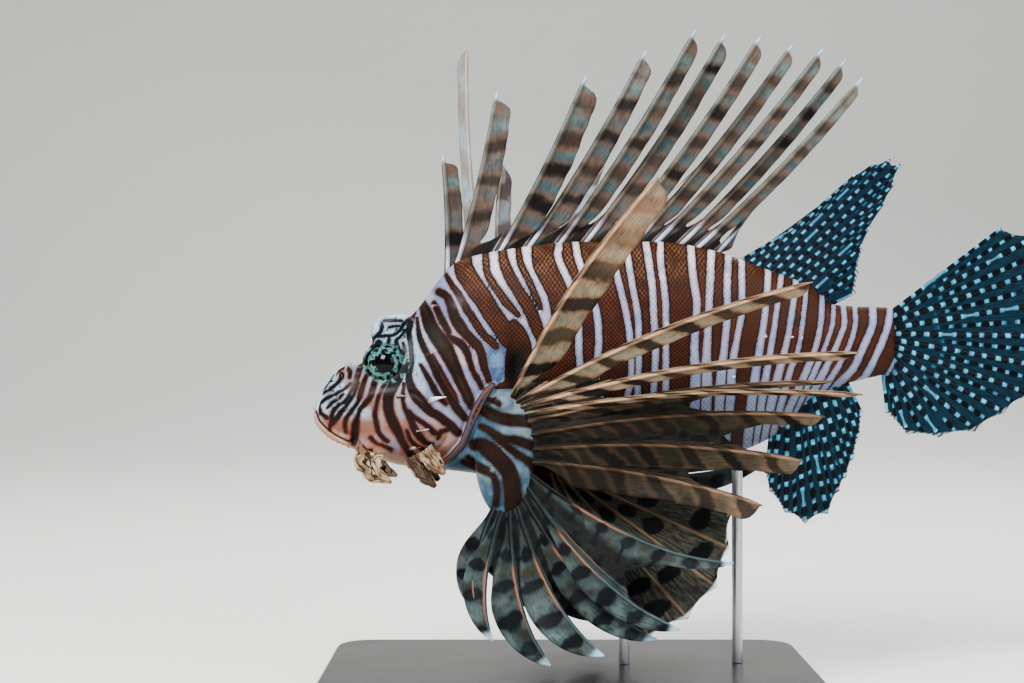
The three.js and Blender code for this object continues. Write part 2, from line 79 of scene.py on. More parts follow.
# The body: flesh and skin in one cast, without a seam from the lips to the root of the tail. The
# outline is the solids' own; brows, eye rims, lips and the fleshy pectoral bases are blended in.
def smooth_curve(stations):
    """A smooth curve through a few stations that never overshoots them"""
    xs, ys = (np.array(column, dtype=float) for column in zip(*stations))
    rise = np.diff(ys) / np.diff(xs)
    before, after = rise[:-1], rise[1:]
    same_way = before * after > 0
    inner = np.where(same_way, 2 * before * after / np.where(same_way, before + after, 1), 0)
    slopes = np.concatenate([rise[:1], inner, rise[-1:]])

    def at(x):
        x = np.clip(x, xs[0], xs[-1])
        i = np.clip(np.searchsorted(xs, x, side="right") - 1, 0, len(xs) - 2)
        width = xs[i + 1] - xs[i]
        t = (x - xs[i]) / width
        rest = 1 - t
        blend = ys[i] * rest**2 * (1 + 2 * t) + ys[i + 1] * t**2 * (3 - 2 * t)
        return blend + width * t * rest * (slopes[i] * rest - slopes[i + 1] * t)

    return at


back_line = smooth_curve([
    (0, -2), (2, 3.6), (5, 8), (9, 12), (14, 14.2), (18.5, 15.4), (24, 20.5), (30, 27), (38, 33.5),
    (44, 40), (52, 51), (60, 58.5), (79, 63), (110, 66.3), (143, 66.4), (160, 64), (192, 53.5),
    (206, 48), (216, 40.5), (241, 39.5)])
belly_line = smooth_curve([
    (0, -5), (2, -10), (9, -16), (21, -21), (36, -26), (60, -28.5), (85, -31.3), (110, -30.5),
    (143, -27.7), (176, -20.5), (192, -13), (206, 1.5), (216, 6), (241, 12)])
half_width = smooth_curve([
    (0, 4), (3, 7), (10, 11), (20, 14.5), (35, 18), (50, 20.5), (65, 22.5), (85, 22), (110, 20.5),
    (143, 17), (176, 12.5), (206, 8), (225, 5.6), (241, 4.5)])
body_end = 241

# Low swellings of the flesh, as x, z, reach along, reach up and height
swellings = [
    (33, 31, 9, 5, 3.2), (15, 11, 6, 4, 1.6), (26, 3, 16, 3.2, 1.4), (45, -6, 7, 9, 1.6),
    (30, -18, 8, 4, 1.5), (58, 40, 9, 6, 1.2)]
eye_centre = np.array([31, 10.6, 15.9])
eye_radius = 8.2
pad_centre = np.array([79, 18.5, -20])
pad_reach = np.array([12.5, 7, 26])


def smoothstep(x, low, high):
    t = np.clip((x - low) / (high - low), 0, 1)
    return t * t * (3 - 2 * t)


def swing_of(x):
    """How far the middle plane is bent to the fish's right at a length: 9 mm at the tail"""
    return 9 * np.maximum(0, (np.asarray(x, dtype=float) - 100) / 140) ** 2


def power(value, exponent):
    """A power that keeps the sign"""
    return np.sign(value) * np.abs(value) ** exponent


def section(x, angle):
    """Points of the flesh at lengths x and angles from the top round the body"""
    back, belly = back_line(x), belly_line(x)
    middle = belly + (back - belly) * (0.47 - 0.04 * smoothstep(70 - x, 0, 45))
    across, up = np.sin(angle), np.cos(angle)
    y = half_width(x) * power(across, np.where(up > 0, 1.12, 0.86))
    z = middle + power(up, 0.96) * np.where(up > 0, back - middle, middle - belly)
    for cx, cz, along, high, height in swellings:
        far = ((x - cx) / along) ** 2 + ((z - cz) / high) ** 2
        y = y + np.sign(across) * np.minimum(1, np.abs(across) * 3) * height * np.exp(-far)
    return np.stack([x, y + swing_of(x), z], axis=-1)


def on_flesh(x, degrees):
    """One point of the flesh"""
    return section(np.array([float(x)]), np.array([math.radians(degrees)]))[0]


def mesh_piece(name, points, faces):
    """A mesh object from points of the fish's frame"""
    mesh = bpy.data.meshes.new(name)
    mesh.from_pydata([tuple(v) for v in (np.asarray(points) + snout) * MM], [], [list(f) for f in faces])
    mesh.update()
    piece = bpy.data.objects.new(name, mesh)
    bpy.context.collection.objects.link(piece)
    return piece


def loft(name, rings):
    """A closed skin over rings of points, with a fan over each end"""
    count, sides = rings.shape[:2]
    points = np.concatenate([rings.reshape(-1, 3), rings[0].mean(0)[None], rings[-1].mean(0)[None]])
    first, last = count * sides, count * sides + 1
    faces = []
    for side in range(sides):
        after = (side + 1) % sides
        for row in range(count - 1):
            a = row * sides
            faces.append((a + side, a + sides + side, a + sides + after, a + after))
        faces.append((first, side, after))
        faces.append((last, (count - 1) * sides + after, (count - 1) * sides + side))
    return mesh_piece(name, points, faces)


def unit(vectors):
    """Vectors of the same direction and length 1"""
    return vectors / np.linalg.norm(vectors, axis=-1, keepdims=True)


def tube(name, path, radii, sides=12):
    """A round rod along a path, of a given radius at each point"""
    path = np.asarray(path, dtype=float)
    ahead = unit(np.gradient(path, axis=0))
    across = unit(np.cross(ahead, (0.1, 0.2, 1)))
    over = np.cross(across, ahead)
    angles = np.linspace(0, 2 * np.pi, sides, endpoint=False)[:, None]
    rim = across[:, None] * np.cos(angles) + over[:, None] * np.sin(angles)
    return loft(name, path[:, None] + rim * np.asarray(radii)[:, None, None])


def lump(name, centre, reach, tilt=0.0, squareness=1.0):
    """A smooth bulge, round or nearly a box"""
    bpy.ops.mesh.primitive_uv_sphere_add(segments=48, ring_count=32)
    piece = bpy.context.object
    piece.name = name
    for vertex in piece.data.vertices:
        vertex.co = Vector([math.copysign(abs(c) ** squareness, c) for c in vertex.co])
    piece.scale = Vector(reach) * MM
    piece.rotation_euler = (0, tilt, 0)
    piece.location = placed(centre)
    bpy.ops.object.transform_apply(location=True, rotation=True, scale=True)
    return piece


mouth_front = 0.4
mouth_corner = 16


def mouth_line(t, reach):
    """The line of the mouth, from its left corner round the snout to its right"""
    x = mouth_front + (mouth_corner - mouth_front) * (2 * t - 1) ** 2
    across = np.sign(t - 0.5) * half_width(x) * 0.86 * np.minimum(1, np.abs(2 * t - 1) * 4) * reach
    return np.stack([x * reach + (1 - reach) * mouth_corner, across, belly_line(x) + 2.2], axis=-1)


def body_lumps():
    """Everything that is blended into the loft of the body"""
    pieces = []
    for side in (-1, 1):
        mirror = np.array([1, side, 1])
        pieces.append(lump("pad", pad_centre * mirror, pad_reach))
        pieces.append(lump("pad_knob", (77.5, side * 23.6, 0.5), (4.6, 2.6, 3.4)))
        pieces.append(lump("brow", (33.2, side * 9.3, 29), (9, 4.4, 6.8), math.radians(-12), 0.72))
        pieces.append(lump("nose_lump", (14.5, side * 6.2, 11.6), (6, 3.2, 3.6), math.radians(-20)))
        pieces.append(lump("jaw_plate", (27, side * 13.2, -16.5), (7, 2.6, 4.6), math.radians(20)))
        bpy.ops.mesh.primitive_torus_add(
            major_radius=(eye_radius + 0.7) * MM, minor_radius=1.25 * MM, major_segments=64,
            minor_segments=16, location=placed(eye_centre * mirror + (-0.6, side * 2.4, 0.6)),
            rotation=(math.radians(90 + side * 16), 0, side * math.radians(14)))
        pieces.append(bpy.context.object)
        nose = on_flesh(14.5, side * 42)
        path = np.linspace(nose, nose + (-0.6, side * 1.0, 2.6), 5)
        pieces.append(tube("nostril", path, [1.3, 1.3, 1.2, 1.1, 0.9]))
    t = np.linspace(0, 1, 60)
    fade = np.sin(np.pi * (0.12 + 0.76 * t)) ** 0.6
    for drop, thickness in ((1.5, 1.5), (-1.1, 1.3)):
        pieces.append(tube("lip", mouth_line(t, 0.97) + (0, 0, drop), thickness * fade))
    return pieces


def select_only(pieces):
    bpy.ops.object.select_all(action="DESELECT")
    for piece in pieces:
        piece.select_set(True)
    bpy.context.view_layer.objects.active = pieces[0]


def merged(name, pieces):
    select_only(pieces)
    bpy.ops.object.join()
    pieces[0].name = name
    pieces[0].data.name = name
    return pieces[0]


def finished(piece, kind, **settings):
    """Adds a modifier and applies it"""
    modifier = piece.modifiers.new(kind.lower(), kind)
    for setting, value in settings.items():
        setattr(modifier, setting, value)
    select_only([piece])
    bpy.ops.object.modifier_apply(modifier=modifier.name)


# The head has the finer mesh, which carries its thin lines and grooves
fine_rows_end = 74
fine_mesh_end = 63
rows = np.concatenate([
    np.linspace(0, fine_rows_end, 110), np.linspace(fine_rows_end + 0.8, body_end, 160)])
angles = np.linspace(0, 2 * np.pi, 96, endpoint=False)
skin = loft("skin", section(rows[:, None] + 0 * angles, angles + 0 * rows[:, None]))
skin = merged("skin", [skin, *body_lumps()])
finished(skin, "REMESH", mode="VOXEL", voxel_size=1.06 * MM)
finished(skin, "SMOOTH", factor=0.5, iterations=4)
select_only([skin])
bpy.ops.object.mode_set(mode="EDIT")
bpy.ops.mesh.select_mode(type="FACE")
bpy.ops.mesh.select_all(action="DESELECT")
bpy.ops.object.mode_set(mode="OBJECT")
for polygon in skin.data.polygons:
    polygon.select = polygon.center.x / MM - snout[0] < fine_mesh_end
bpy.ops.object.mode_set(mode="EDIT")
bpy.ops.mesh.subdivide(number_cuts=1, smoothness=0.6)
bpy.ops.object.mode_set(mode="OBJECT")


def read_points(piece):
    flat = np.empty(len(piece.data.vertices) * 3)
    piece.data.vertices.foreach_get("co", flat)
    return flat.reshape(-1, 3) / MM - snout


def read_normals(piece):
    flat = np.empty(len(piece.data.vertices) * 3)
    piece.data.vertex_normals.foreach_get("vector", flat)
    return flat.reshape(-1, 3)


def write_points(piece, points):
    piece.data.vertices.foreach_set("co", ((points + snout) * MM).ravel())
    piece.data.update()


def drawn(points, steps=6):
    """A smooth line through a few points drawn on the side of the fish"""
    knots = np.array([points[0], *points, points[-1]], dtype=float)
    line = []
    for a, b, c, d in zip(knots, knots[1:], knots[2:], knots[3:]):
        for step in range(steps):
            t = step / steps
            line.append(0.5 * (2 * b + (c - a) * t + (2 * a - 5 * b + 4 * c - d) * t**2
                               + (3 * b - a - 3 * c + d) * t**3))
    return np.array([*line, knots[-1]])


far_outside = -9.0


def band_depth(places, bands, near=7.0):
    """How deep each place lies inside the nearest of some bands, in millimetres, and below 0 outside
    them all. A band is drawn through points that give x, z and its width there."""
    deepest = np.full(len(places), far_outside)
    for band in bands:
        line = drawn(band)
        low, high = line[:, :2].min(0) - near, line[:, :2].max(0) + near
        close = np.flatnonzero(((places > low) & (places < high)).all(1))
        here = places[close]
        best = np.full(len(close), far_outside)
        for start, end in zip(line[:-1], line[1:]):
            way = end[:2] - start[:2]
            t = np.clip((here - start[:2]) @ way / max(way @ way, 1e-6), 0, 1)
            width = start[2] + t * (end[2] - start[2])
            best = np.maximum(best, width / 2 - np.hypot(*(here - start[:2] - t[:, None] * way).T))
        deepest[close] = np.maximum(deepest[close], best)
    return deepest


def hill(places, x, z, along, high):
    """1 at a point and less around it, down to 0"""
    return np.exp(-((places[:, 0] - x) / along) ** 2 - ((places[:, 1] - z) / high) ** 2)


# Relief that is modelled in the skin itself: the strap along the edge of the gill cover, the dark
# hollow behind it, the line of the mouth and the plates and folds of the cheek. Its lines, and those
# of the markings, are drawn as they are seen from the camera's distance, the same on both sides.
points = read_points(skin)
normals = read_normals(skin)
swing = swing_of(points[:, 0])
near_side = swing - np.abs(points[:, 1] - swing)
magnified = view_distance / (view_distance + near_side)
side_view = picture_middle + (points[:, [0, 2]] - picture_middle) * magnified[:, None]
flank = np.clip(np.abs(points[:, 1] - swing) / 8, 0, 1)
strap_line = [
    (73.9, 7, 2.2), (71.4, 4.2, 3.4), (68.5, -0.4, 3.8), (66.4, -4.5, 3.9), (64.8, -8.6, 3.5),
    (63.1, -12.8, 3.1), (61.5, -16.9, 3.1), (59, -19.8, 3.1), (56.1, -22.7, 2.7), (53.2, -24.7, 2.3)]
strap = band_depth(side_view, [strap_line])
relief = 1.1 * smoothstep(strap, -0.3, 0.9) * flank
relief -= 0.9 * np.exp(-(((strap + 0.9) / 0.6) ** 2)) * flank
relief += 0.35 * np.exp(-((strap / 0.35) ** 2)) * flank
cheek_relief = [
    (-1.9, 83.5, 15, 5, 8), (0.9, 78.2, 15, 3.2, 8), (-1.0, 78, 4.2, 5, 1.2), (0.8, 20, -7, 4, 7),
    (0.7, 29, -11, 5, 5), (-0.7, 35.5, -14, 2, 7), (0.8, 45, -12, 6, 6), (-0.8, 16.5, -8, 1.2, 8),
    (0.7, 66, 12, 7, 8), (-0.6, 41, 20, 1.6, 10), (0.6, 50, 12, 5, 12)]
for height, *place_and_reach in cheek_relief:
    relief += height * hill(side_view, *place_and_reach) * flank

mouth_side = mouth_line(np.linspace(0.5, 1, 30), 1)[:, [0, 2]]
mouth_side = np.vstack([mouth_side[0] - (2.5, 0), mouth_side])
mouth = band_depth(side_view, [[(x, z, 0.7) for x, z in mouth_side]])
relief -= 0.9 * smoothstep(mouth, -0.7, 0.3)
grooves = [
    [(23.5, -14.8, 1.2), (25.6, -16.9, 0.8), (28.5, -18.1, 0.8), (31.8, -19.8, 1)],
    [(18.5, -4, 0.6), (16.5, -9, 0.8), (16.6, -16, 0.8)],
    [(40, 4, 0.7), (47, 0, 0.9), (53, -6, 0.9), (55, -14, 0.9), (49, -21, 0.7)],
    [(5, 6, 0.6), (10, 2, 0.7), (14, -3, 0.7)],
    [(6, -8, 0.5), (9, -12, 0.6), (15, -14, 0.6)]]
relief -= 0.5 * smoothstep(band_depth(side_view, grooves), -0.9, 0.3) * flank
write_points(skin, points + normals * relief[:, None])

# Markings. The head and the pectoral base are pale and carry dark bands; each band is drawn through
# points that give x, z and its width there. The body is dark and carries pale stripes, often in
# pairs, each drawn as its width and the line that it follows.
head_bands = [
    [(19.4, 20.3, 1.2), (19.4, 15.7, 1.4), (18.1, 11.2, 1.7), (16.5, 7, 1.2), (14.8, 3.3, 1.2),
     (12.8, 0.4, 1.2), (9.9, -1.6, 1.2), (7.8, -4.1, 1.4), (7, -7.8, 1.2), (6.2, -11.5, 0.8)],
    [(18.1, 7.9, 0.8), (16.9, 4.6, 1), (15.3, 1.3, 1.2), (12.8, -2, 1.4), (10.3, -5.3, 1.7),
     (7.8, -8.6, 1.7)],
    [(21.9, 11.2, 0.8), (20.6, 8.3, 1.4), (19.4, 4.2, 1.9), (18.1, 0, 1.4), (15.3, -3.7, 1.4),
     (13.2, -7, 1.4), (12.8, -10.3, 1.2), (13.2, -12.3, 0.8)],
    [(25.2, 8.7, 1.7), (24.3, 5.4, 2.1), (23.1, 1.7, 1.9), (21, -0.8, 1.7), (19, -3.3, 1.4),
     (18.1, -6.2, 1.7), (17.3, -9, 2.9), (16.9, -13.2, 2.9), (16.5, -16.9, 2.1)],
    [(29.3, 7.5, 1.2), (27.6, 4.6, 1.2), (26.4, 1.3, 1.2), (25.6, -2.4, 1), (25.2, -4.9, 1.4),
     (26, -9, 1.4), (26.8, -12.3, 1.4), (28.9, -15.2, 1.4), (30.5, -16.1, 0.8)],
    [(35.1, 9.9, 2.9), (33.4, 7.5, 3.7), (31.4, 4.2, 4.1), (30.5, 0.4, 3.9), (30.9, -3.7, 3.7),
     (32.6, -8.2, 3.5), (34.7, -12.3, 2.9), (36.3, -16.1, 2.5), (38.4, -19.4, 2.5), (40.8, -22.7, 2.5),
     (43.3, -25.6, 2.5), (45.8, -28, 2.5)],
    [(37.1, 7.5, 1), (36.7, 3.7, 1), (36.7, 0, 1), (38, -3.7, 1.4), (40, -7.4, 2.1), (41.7, -11.1, 2.5),
     (43.7, -14, 2.5), (46.2, -16.5, 1.4), (48.7, -17.3, 0.8)],
    [(39.2, 12.8, 2.1), (39.2, 9.1, 2.5), (40.4, 5.4, 3.3), (42.5, 2.1, 3.9), (45, -0.8, 3.7),
     (47.9, -3.7, 2.9), (51.2, -5.7, 2.7), (54.5, -8.2, 2.9), (57.4, -10.7, 2.9), (59.4, -12.8, 2.5)],
    [(39.2, -3.7, 0.8), (41.3, -6.2, 1.4), (44.1, -7.8, 1.2), (47, -9.9, 1.4), (49.5, -12.3, 1.4),
     (51.6, -13.2, 0.8)],
    [(38.4, -11.9, 1), (40, -15.7, 1.2), (42.5, -18.1, 1), (45.4, -19.4, 0.8)],
    [(55.3, -11.5, 1), (52.4, -12.3, 1.2), (51.2, -14.8, 0.8)],
    [(40.8, 36.8, 2.1), (39.6, 32.2, 2.1), (39.2, 28.1, 1.9), (39.6, 24, 1.4), (40, 19.8, 1.4),
     (40, 15.7, 1.7), (39.2, 12.4, 2.1)],
    [(42.5, 34.7, 0.6), (42.9, 30.6, 1.2), (43.7, 26.4, 1.9), (45.4, 22.3, 2.1), (47.4, 18.6, 2.1),
     (49.5, 14.5, 2.3), (51.2, 10.8, 2.5), (53.2, 7, 2.1), (55.3, 3.3, 2.3), (57.4, 0, 2.7),
     (59.8, -3.7, 2.9), (62.3, -6.6, 2.5)],
    [(44.1, 15.3, 0.8), (46.2, 11.6, 1.4), (48.3, 7.9, 1.7), (50.3, 4.2, 1.9), (52.4, 1.3, 1.7),
     (54.5, -0.8, 1.2)],
    [(49.1, 19.4, 0.4), (52, 14.1, 0.7), (54.9, 8.7, 0.7), (57.8, 3.7, 0.7), (59.4, 0, 0.4)],
    [(2.5, 5.4, 0.8), (4.5, 7.9, 0.8), (7, 10.3, 0.8), (9.9, 12.8, 0.8), (12.4, 14.5, 0.8)],
    [(2.9, 3.7, 1.2), (5.8, 5, 1.2), (8.7, 7, 1.2), (10.7, 9.1, 1.2), (11.5, 11.6, 1.2)],
    [(2.5, -0.4, 1.2), (5.4, 1.7, 1.2), (8.7, 3.3, 1), (12, 5, 0.8), (15.3, 7.5, 0.8)],
    [(2, -1.6, 1.2), (2.9, -4.5, 1.2), (5.4, -6.6, 1)],
    [(5.4, -2.4, 0.8), (7.4, -0.4, 1), (9.9, 1.3, 1.2), (12, 3.3, 0.8)],
    [(12.8, 14.5, 0.8), (14.8, 12.8, 1.2), (14.8, 10.3, 1)],
    [(28, 32.6, 1), (28, 30.2, 1.2), (26.4, 27.7, 1.2), (24.3, 26, 1.2), (23.5, 23.1, 1)],
    [(28.9, 33.5, 0.8), (32.6, 33.7, 1), (36.3, 33.5, 0.8)],
    [(30.9, 30.8, 0.6), (33.4, 31.4, 0.8), (35.1, 31.4, 0.6)],
    [(25.6, 26.9, 0.8), (29.3, 27.3, 1), (33, 27.7, 0.8), (35.5, 29.7, 1), (37.1, 32.2, 1.2),
     (39.6, 34.3, 1.2)],
    [(30.9, 26, 1), (30.5, 23.6, 1.2), (29.7, 21.9, 1.2)],
    [(35.1, 22.7, 0.8), (33.8, 25.2, 1.2), (35.9, 27.3, 0.8), (37.5, 29.7, 0.8)],
    [(28.5, 20.3, 1.2), (31.4, 20.7, 1.7), (33.4, 22.7, 1.7)],
    [(26.8, 24.4, 2.5), (26, 22.3, 3.3), (25.6, 20.3, 2.5)],
    [(36.7, 24.4, 0.8), (37.5, 21.1, 1.2), (37.5, 17.4, 1), (37.1, 13.7, 0.8)],
    [(2.5, -13.2, 0.6), (5.8, -15.7, 0.6), (9.5, -17.1, 0.6)],
    [(23.5, -14.8, 1.2), (25.6, -16.9, 0.8), (28.5, -18.1, 0.8), (31.8, -19.8, 1)],
    [(19.8, -18.5, 0.8), (21.4, -20.2, 1.2), (23.5, -19.8, 0.8)],
    [(44.6, 40.9, 2.5), (46.6, 35.9, 4.5), (47.9, 31.8, 5), (50.3, 27.7, 5.4), (52.4, 24.8, 5.8),
     (54.5, 21.5, 5.8), (56.5, 17.4, 5.2), (58.6, 13.2, 4.5), (60.2, 9.1, 4.1), (62.3, 5, 3.9),
     (64, 0.9, 3.5), (64.6, -2.4, 1.2)],
    [(49.5, 40.9, 1.2), (51.2, 37.2, 2.1), (53.2, 33, 2.3), (55.3, 29.3, 1.9), (55.7, 27.7, 0.8)],
    [(55.3, 27.3, 0.8), (58.2, 25.6, 2.1), (61.1, 23.6, 2.5), (63.1, 20.3, 2.3), (64.4, 16.5, 1.9),
     (65.6, 12.8, 1.7), (67.7, 9.1, 1.7), (69.3, 5.8, 1.2)],
    [(51.6, 45.4, 2.5), (54.9, 43.4, 2.5), (56.9, 38.8, 3.3), (58.2, 34.7, 3.7), (60.2, 31.4, 4.1),
     (62.7, 28.1, 3.3), (65.6, 25.2, 3.3), (68.1, 22.3, 2.9), (69.3, 19, 2.7), (70.1, 14.9, 2.5),
     (71.4, 11.2, 1.9), (72.2, 8.7, 1.7)],
    [(54.5, 52.4, 1), (56.9, 48.3, 1.7), (59.8, 44.2, 2.1), (62.7, 38.8, 2.5), (65.2, 35.1, 2.5),
     (67.7, 31, 2.7), (70.1, 27.7, 2.1), (73, 25.2, 2.5), (75.1, 22.7, 1.7)],
    [(61.1, 64.4, 5.8), (61.5, 57.8, 6.6), (62.3, 53.7, 7.4), (64.8, 49.6, 7.4), (67.7, 45.4, 7.4),
     (70.6, 41.3, 7), (73, 37.2, 7), (75.9, 33, 7), (78.4, 28.9, 6.6), (80, 24.8, 4.5)],
    [(82.5, 32.2, 3.3), (84.6, 27.7, 5.8), (85.4, 23.6, 7.4), (84.6, 19.4, 9.9), (83.8, 15.3, 9.1),
     (82.5, 11.2, 6.6), (81.3, 7, 5), (78.8, 3.7, 3.3), (75.5, 3.3, 2.9), (73, 5.8, 2.5)],
    [(70.6, 64, 1.2), (71, 57.8, 2.1), (71.4, 53.7, 2.1), (73.4, 49.6, 2.5), (76.3, 45.4, 2.5),
     (79.2, 41.3, 2.7), (82.1, 38, 2.1), (84.6, 35.5, 1)],
    [(77.6, 64.4, 2.5), (78, 60.3, 2.9), (78.8, 56.6, 3.7), (80.5, 52.4, 4.1), (82.9, 48.3, 4.1),
     (85.4, 44.2, 4.1), (87.9, 40.1, 4.5), (90, 35.9, 4.5), (91.6, 31.8, 4.5), (93.3, 27.7, 4.1),
     (94.9, 23.6, 3.7)],
    [(84.2, 64.4, 1.2), (84.6, 60.7, 1.7), (85.4, 56.6, 2.1), (87.5, 52.4, 2.1), (89.5, 48.3, 2.1),
     (91.2, 44.2, 2.1), (92.8, 40.9, 1.7), (93.7, 38.4, 0.8)],
    [(93.3, 64.4, 6.2), (93.3, 58.6, 5.8), (94.5, 54.5, 5.8), (97, 50, 5.8), (99, 45.8, 5.8),
     (100.3, 41.7, 5.8), (101.1, 37.6, 5.8), (101.5, 33.5, 5.8), (101.5, 27.7, 5.8)],
]
pad_bands = [
    [(68.1, -2, 2.9), (72.6, -4.9, 3.7), (76.7, -6.6, 3.7), (80.9, -7.4, 3.7), (85.8, -7.8, 3.7),
     (93.3, -8.6, 3.7)],
    [(68.5, -9.9, 1.2), (71.8, -11.5, 1.9), (75.1, -13.6, 2.1), (78.8, -15.2, 1.9), (82.9, -15.7, 2.3),
     (87.9, -17.3, 2.9), (93.3, -19.4, 3.3), (98.6, -20.6, 3.3)],
    [(74.7, -14.8, 0.8), (77.6, -16.9, 1.2), (80.9, -19.4, 1.7), (84.2, -21.8, 1.9), (87.5, -23.9, 2.1),
     (90.4, -26, 2.9), (92, -28.9, 3.7), (91.6, -33, 2.9)],
    [(66, -17.7, 3.3), (69.3, -17.7, 4.5), (72.6, -20.2, 5.8), (75.9, -23.1, 5.8), (78.8, -26.4, 5.8),
     (80.9, -30.1, 5.8), (81.7, -34.2, 6.2), (82.1, -38.3, 6.2), (82.5, -45.4, 6.2)],
    [(61.5, -24.7, 0.8), (64.4, -26, 1), (67.3, -27.6, 1), (70.6, -28.9, 0.8), (72.6, -30.1, 0.8)],
    [(63.5, -22.7, 0.8), (66, -24.7, 0.8), (68.9, -26.4, 0.8), (71.8, -27.6, 0.6)],
    [(73.9, -30.1, 1.2), (75.1, -33.8, 1.7), (75.5, -37.9, 1.7), (75.1, -42.1, 1.7)],
    [(72.2, 0.9, 1.2), (74.7, 0.4, 1.7), (76.3, -0.8, 1.2)],
]
body_stripes = [
    (3, [(101, 65), (101, 59), (107, 45), (109, 33.5), (109.5, 19), (111, 11), (116, 4.5)]),
    (3, [(108, 65), (109, 59.5), (113, 47.5), (116.5, 37.5), (117.5, 25.5), (116.5, 12.5), (116.5, -6.5)]),
    (2.8, [(123.5, 66), (124, 57), (129, 36), (130.5, 24), (131, 11.5), (128.5, -0.5), (126, -10.5)]),
    (2.8, [(128.5, 65.5), (131.5, 47.5), (133.6, 36), (134, 24), (133.8, 11.5), (133.5, -0.5),
     (134.5, -10.5)]),
    (3.0, [(137, 65.5), (139.5, 48.5), (140.2, 36), (141, 24), (140.4, 9.5), (139.5, -6.5), (138.5, -17)]),
    (2.8, [(143, 65), (143, 58), (145, 42), (145.2, 24), (145.2, 7.5), (144.4, -7), (143.5, -17)]),
    (3.2, [(155.6, 63), (156.4, 52), (158, 41.5), (157.4, 31.5), (157, 19), (157.6, 7.5), (157, -15)]),
    (3.2, [(164, 61.5), (163.5, 51), (163, 40), (162.5, 29.5), (162, 17.5), (162, 7.5), (161, -13.5)]),
    (3, [(171, 59.5), (170.5, 47.5), (170.6, 36), (169.2, 21.5), (168, 9.5), (167.3, -3.5),
     (166.4, -12.5)]),
    (2.8, [(176.5, 58), (176.5, 38), (174.4, 25.5), (172.4, 13.5), (171.7, 1), (170.3, -11)]),
    (2.8, [(187.4, 54.5), (187, 45.5), (185.5, 31.5), (183, 16.5), (181, 3), (180, -7)]),
    (2.4, [(193, 53), (191.5, 42), (190, 31.5), (187.6, 16.5), (185.2, 3), (184, -6.5)]),
    (2.6, [(199, 51), (197.5, 38.5), (195.3, 25.5), (192.3, 14), (189.2, 2), (187.9, -4)]),
    (2, [(203, 46), (202, 35.5), (200, 22.5), (196.8, 13.5), (193, 0)]),
    (2.4, [(210, 47), (209, 31.5), (206.5, 21), (203.2, 12.5), (199.4, 4)]),
    (2, [(214.5, 39), (213.8, 31.5), (211, 23), (207.2, 14), (204, 7)]),
    (2.4, [(218.5, 39), (218.8, 32), (216.2, 24.5), (212, 15.5), (207.8, 7.5)]),
    (2.2, [(223.3, 38.5), (223.3, 31.5), (221, 23.5), (216.5, 15), (212.5, 8.5)]),
    (3.2, [(230.6, 39), (230.4, 31.5), (226.6, 22.5), (222.6, 14), (217.6, 8.5)]),
    (3, [(238, 39), (236.4, 30), (232.4, 20), (228, 11.5), (224, 7.5)]),
    (1.6, [(243, 35), (242, 23.5), (237.4, 12.5), (233, 7.5)]),
]


def run_on(line, extra=14.0):
    """Carries a stripe on past both its ends, over the back and under the belly"""
    first, second, before, last = (np.array(line[i], dtype=float) for i in (0, 1, -2, -1))
    return [first + unit(first - second) * extra, *line, last + unit(last - before) * extra]


def give(piece, name, values):
    """Stores a number for every point of a piece, for its finish to read"""
    layer = piece.data.attributes.new(name, "FLOAT", "POINT")
    layer.data.foreach_set("value", np.asarray(values, dtype=np.float32).ravel())


# Where the head ends: behind the first pale stripes of the shoulder and down the strap
head_end = [
    (83, 93.7), (67, 93.7), (58, 96.6), (48, 100.3), (38, 102.3), (28, 99.9), (21, 93.3), (13, 85.8),
    (7, 76), (4, 71.4), (-0.4, 68.5), (-4.5, 66.4), (-8.6, 64.8), (-12.8, 63.1), (-16.9, 61.5),
    (-19.8, 59), (-22.7, 56), (-26, 51)]
heights, edges = zip(*head_end[::-1])
on_head = side_view[:, 0] < np.interp(side_view[:, 1], heights, edges)
pad_margin = 3
from_pad = (points - pad_centre) * (1, 0, 1) / (pad_reach + pad_margin)
below_strap = (points[:, 0] < 84) & (points[:, 2] < -14)
on_pad = ((np.linalg.norm(from_pad, axis=1) < 1) | below_strap) & ~on_head & (side_view[:, 1] < 6)


def widening(x, z):
    """How many times as wide as at the back a stripe is: 1.5 low on the rear flank"""
    return 1 + 0.5 * smoothstep(z, 26, 6) * smoothstep(x, 140, 160) * smoothstep(x, 222, 206)


stripes = [[(x, z, width * widening(x, z)) for x, z in run_on(line)] for width, line in body_stripes]
even_stripes, odd_stripes = stripes[::2], stripes[1::2]
u, w = side_view.T
low_face = smoothstep(u, 49, 30) * smoothstep(w, 14, 4)
low_face += smoothstep(u, 66, 52) * smoothstep(w, -2, -14) * (u > 30)
ink_on_snout = smoothstep(u + w * 0.9, 24, 16) * smoothstep(w, -9, -3)
ink_on_brow = hill(side_view, 33, 22, 11, 18) * 1.6
ink_zone = np.clip(np.maximum(ink_on_snout, ink_on_brow), 0, 1)
band_edge = 0.5 - 0.28 * ink_zone
front_shift = 9 * smoothstep(-normals[:, 0], 0.6, 0.95) * smoothstep(u, 18, 10)
head_view = np.stack([u - front_shift, w], axis=1)
pale_on_head = -band_edge - band_depth(head_view, head_bands)
pale_on_pad = -0.6 - band_depth(side_view, pad_bands)
pale_first = np.select([on_head, on_pad], [pale_on_head, pale_on_pad], band_depth(side_view, even_stripes))
pale_second = np.where(on_head | on_pad, far_outside, band_depth(side_view, odd_stripes))
from_middle = np.abs(points[:, 1] - swing)
from_eye = np.hypot((u - 29.8) / 9.4, (w - 15.9) / 8)
glints = [
    (93.3, 37.2), (145.7, 32.2), (158.9, 31), (173.3, 10.4), (186.5, 27.3), (197.3, 26.9), (201.4, 26.4)]
above_belly = points[:, 2] - belly_line(points[:, 0])
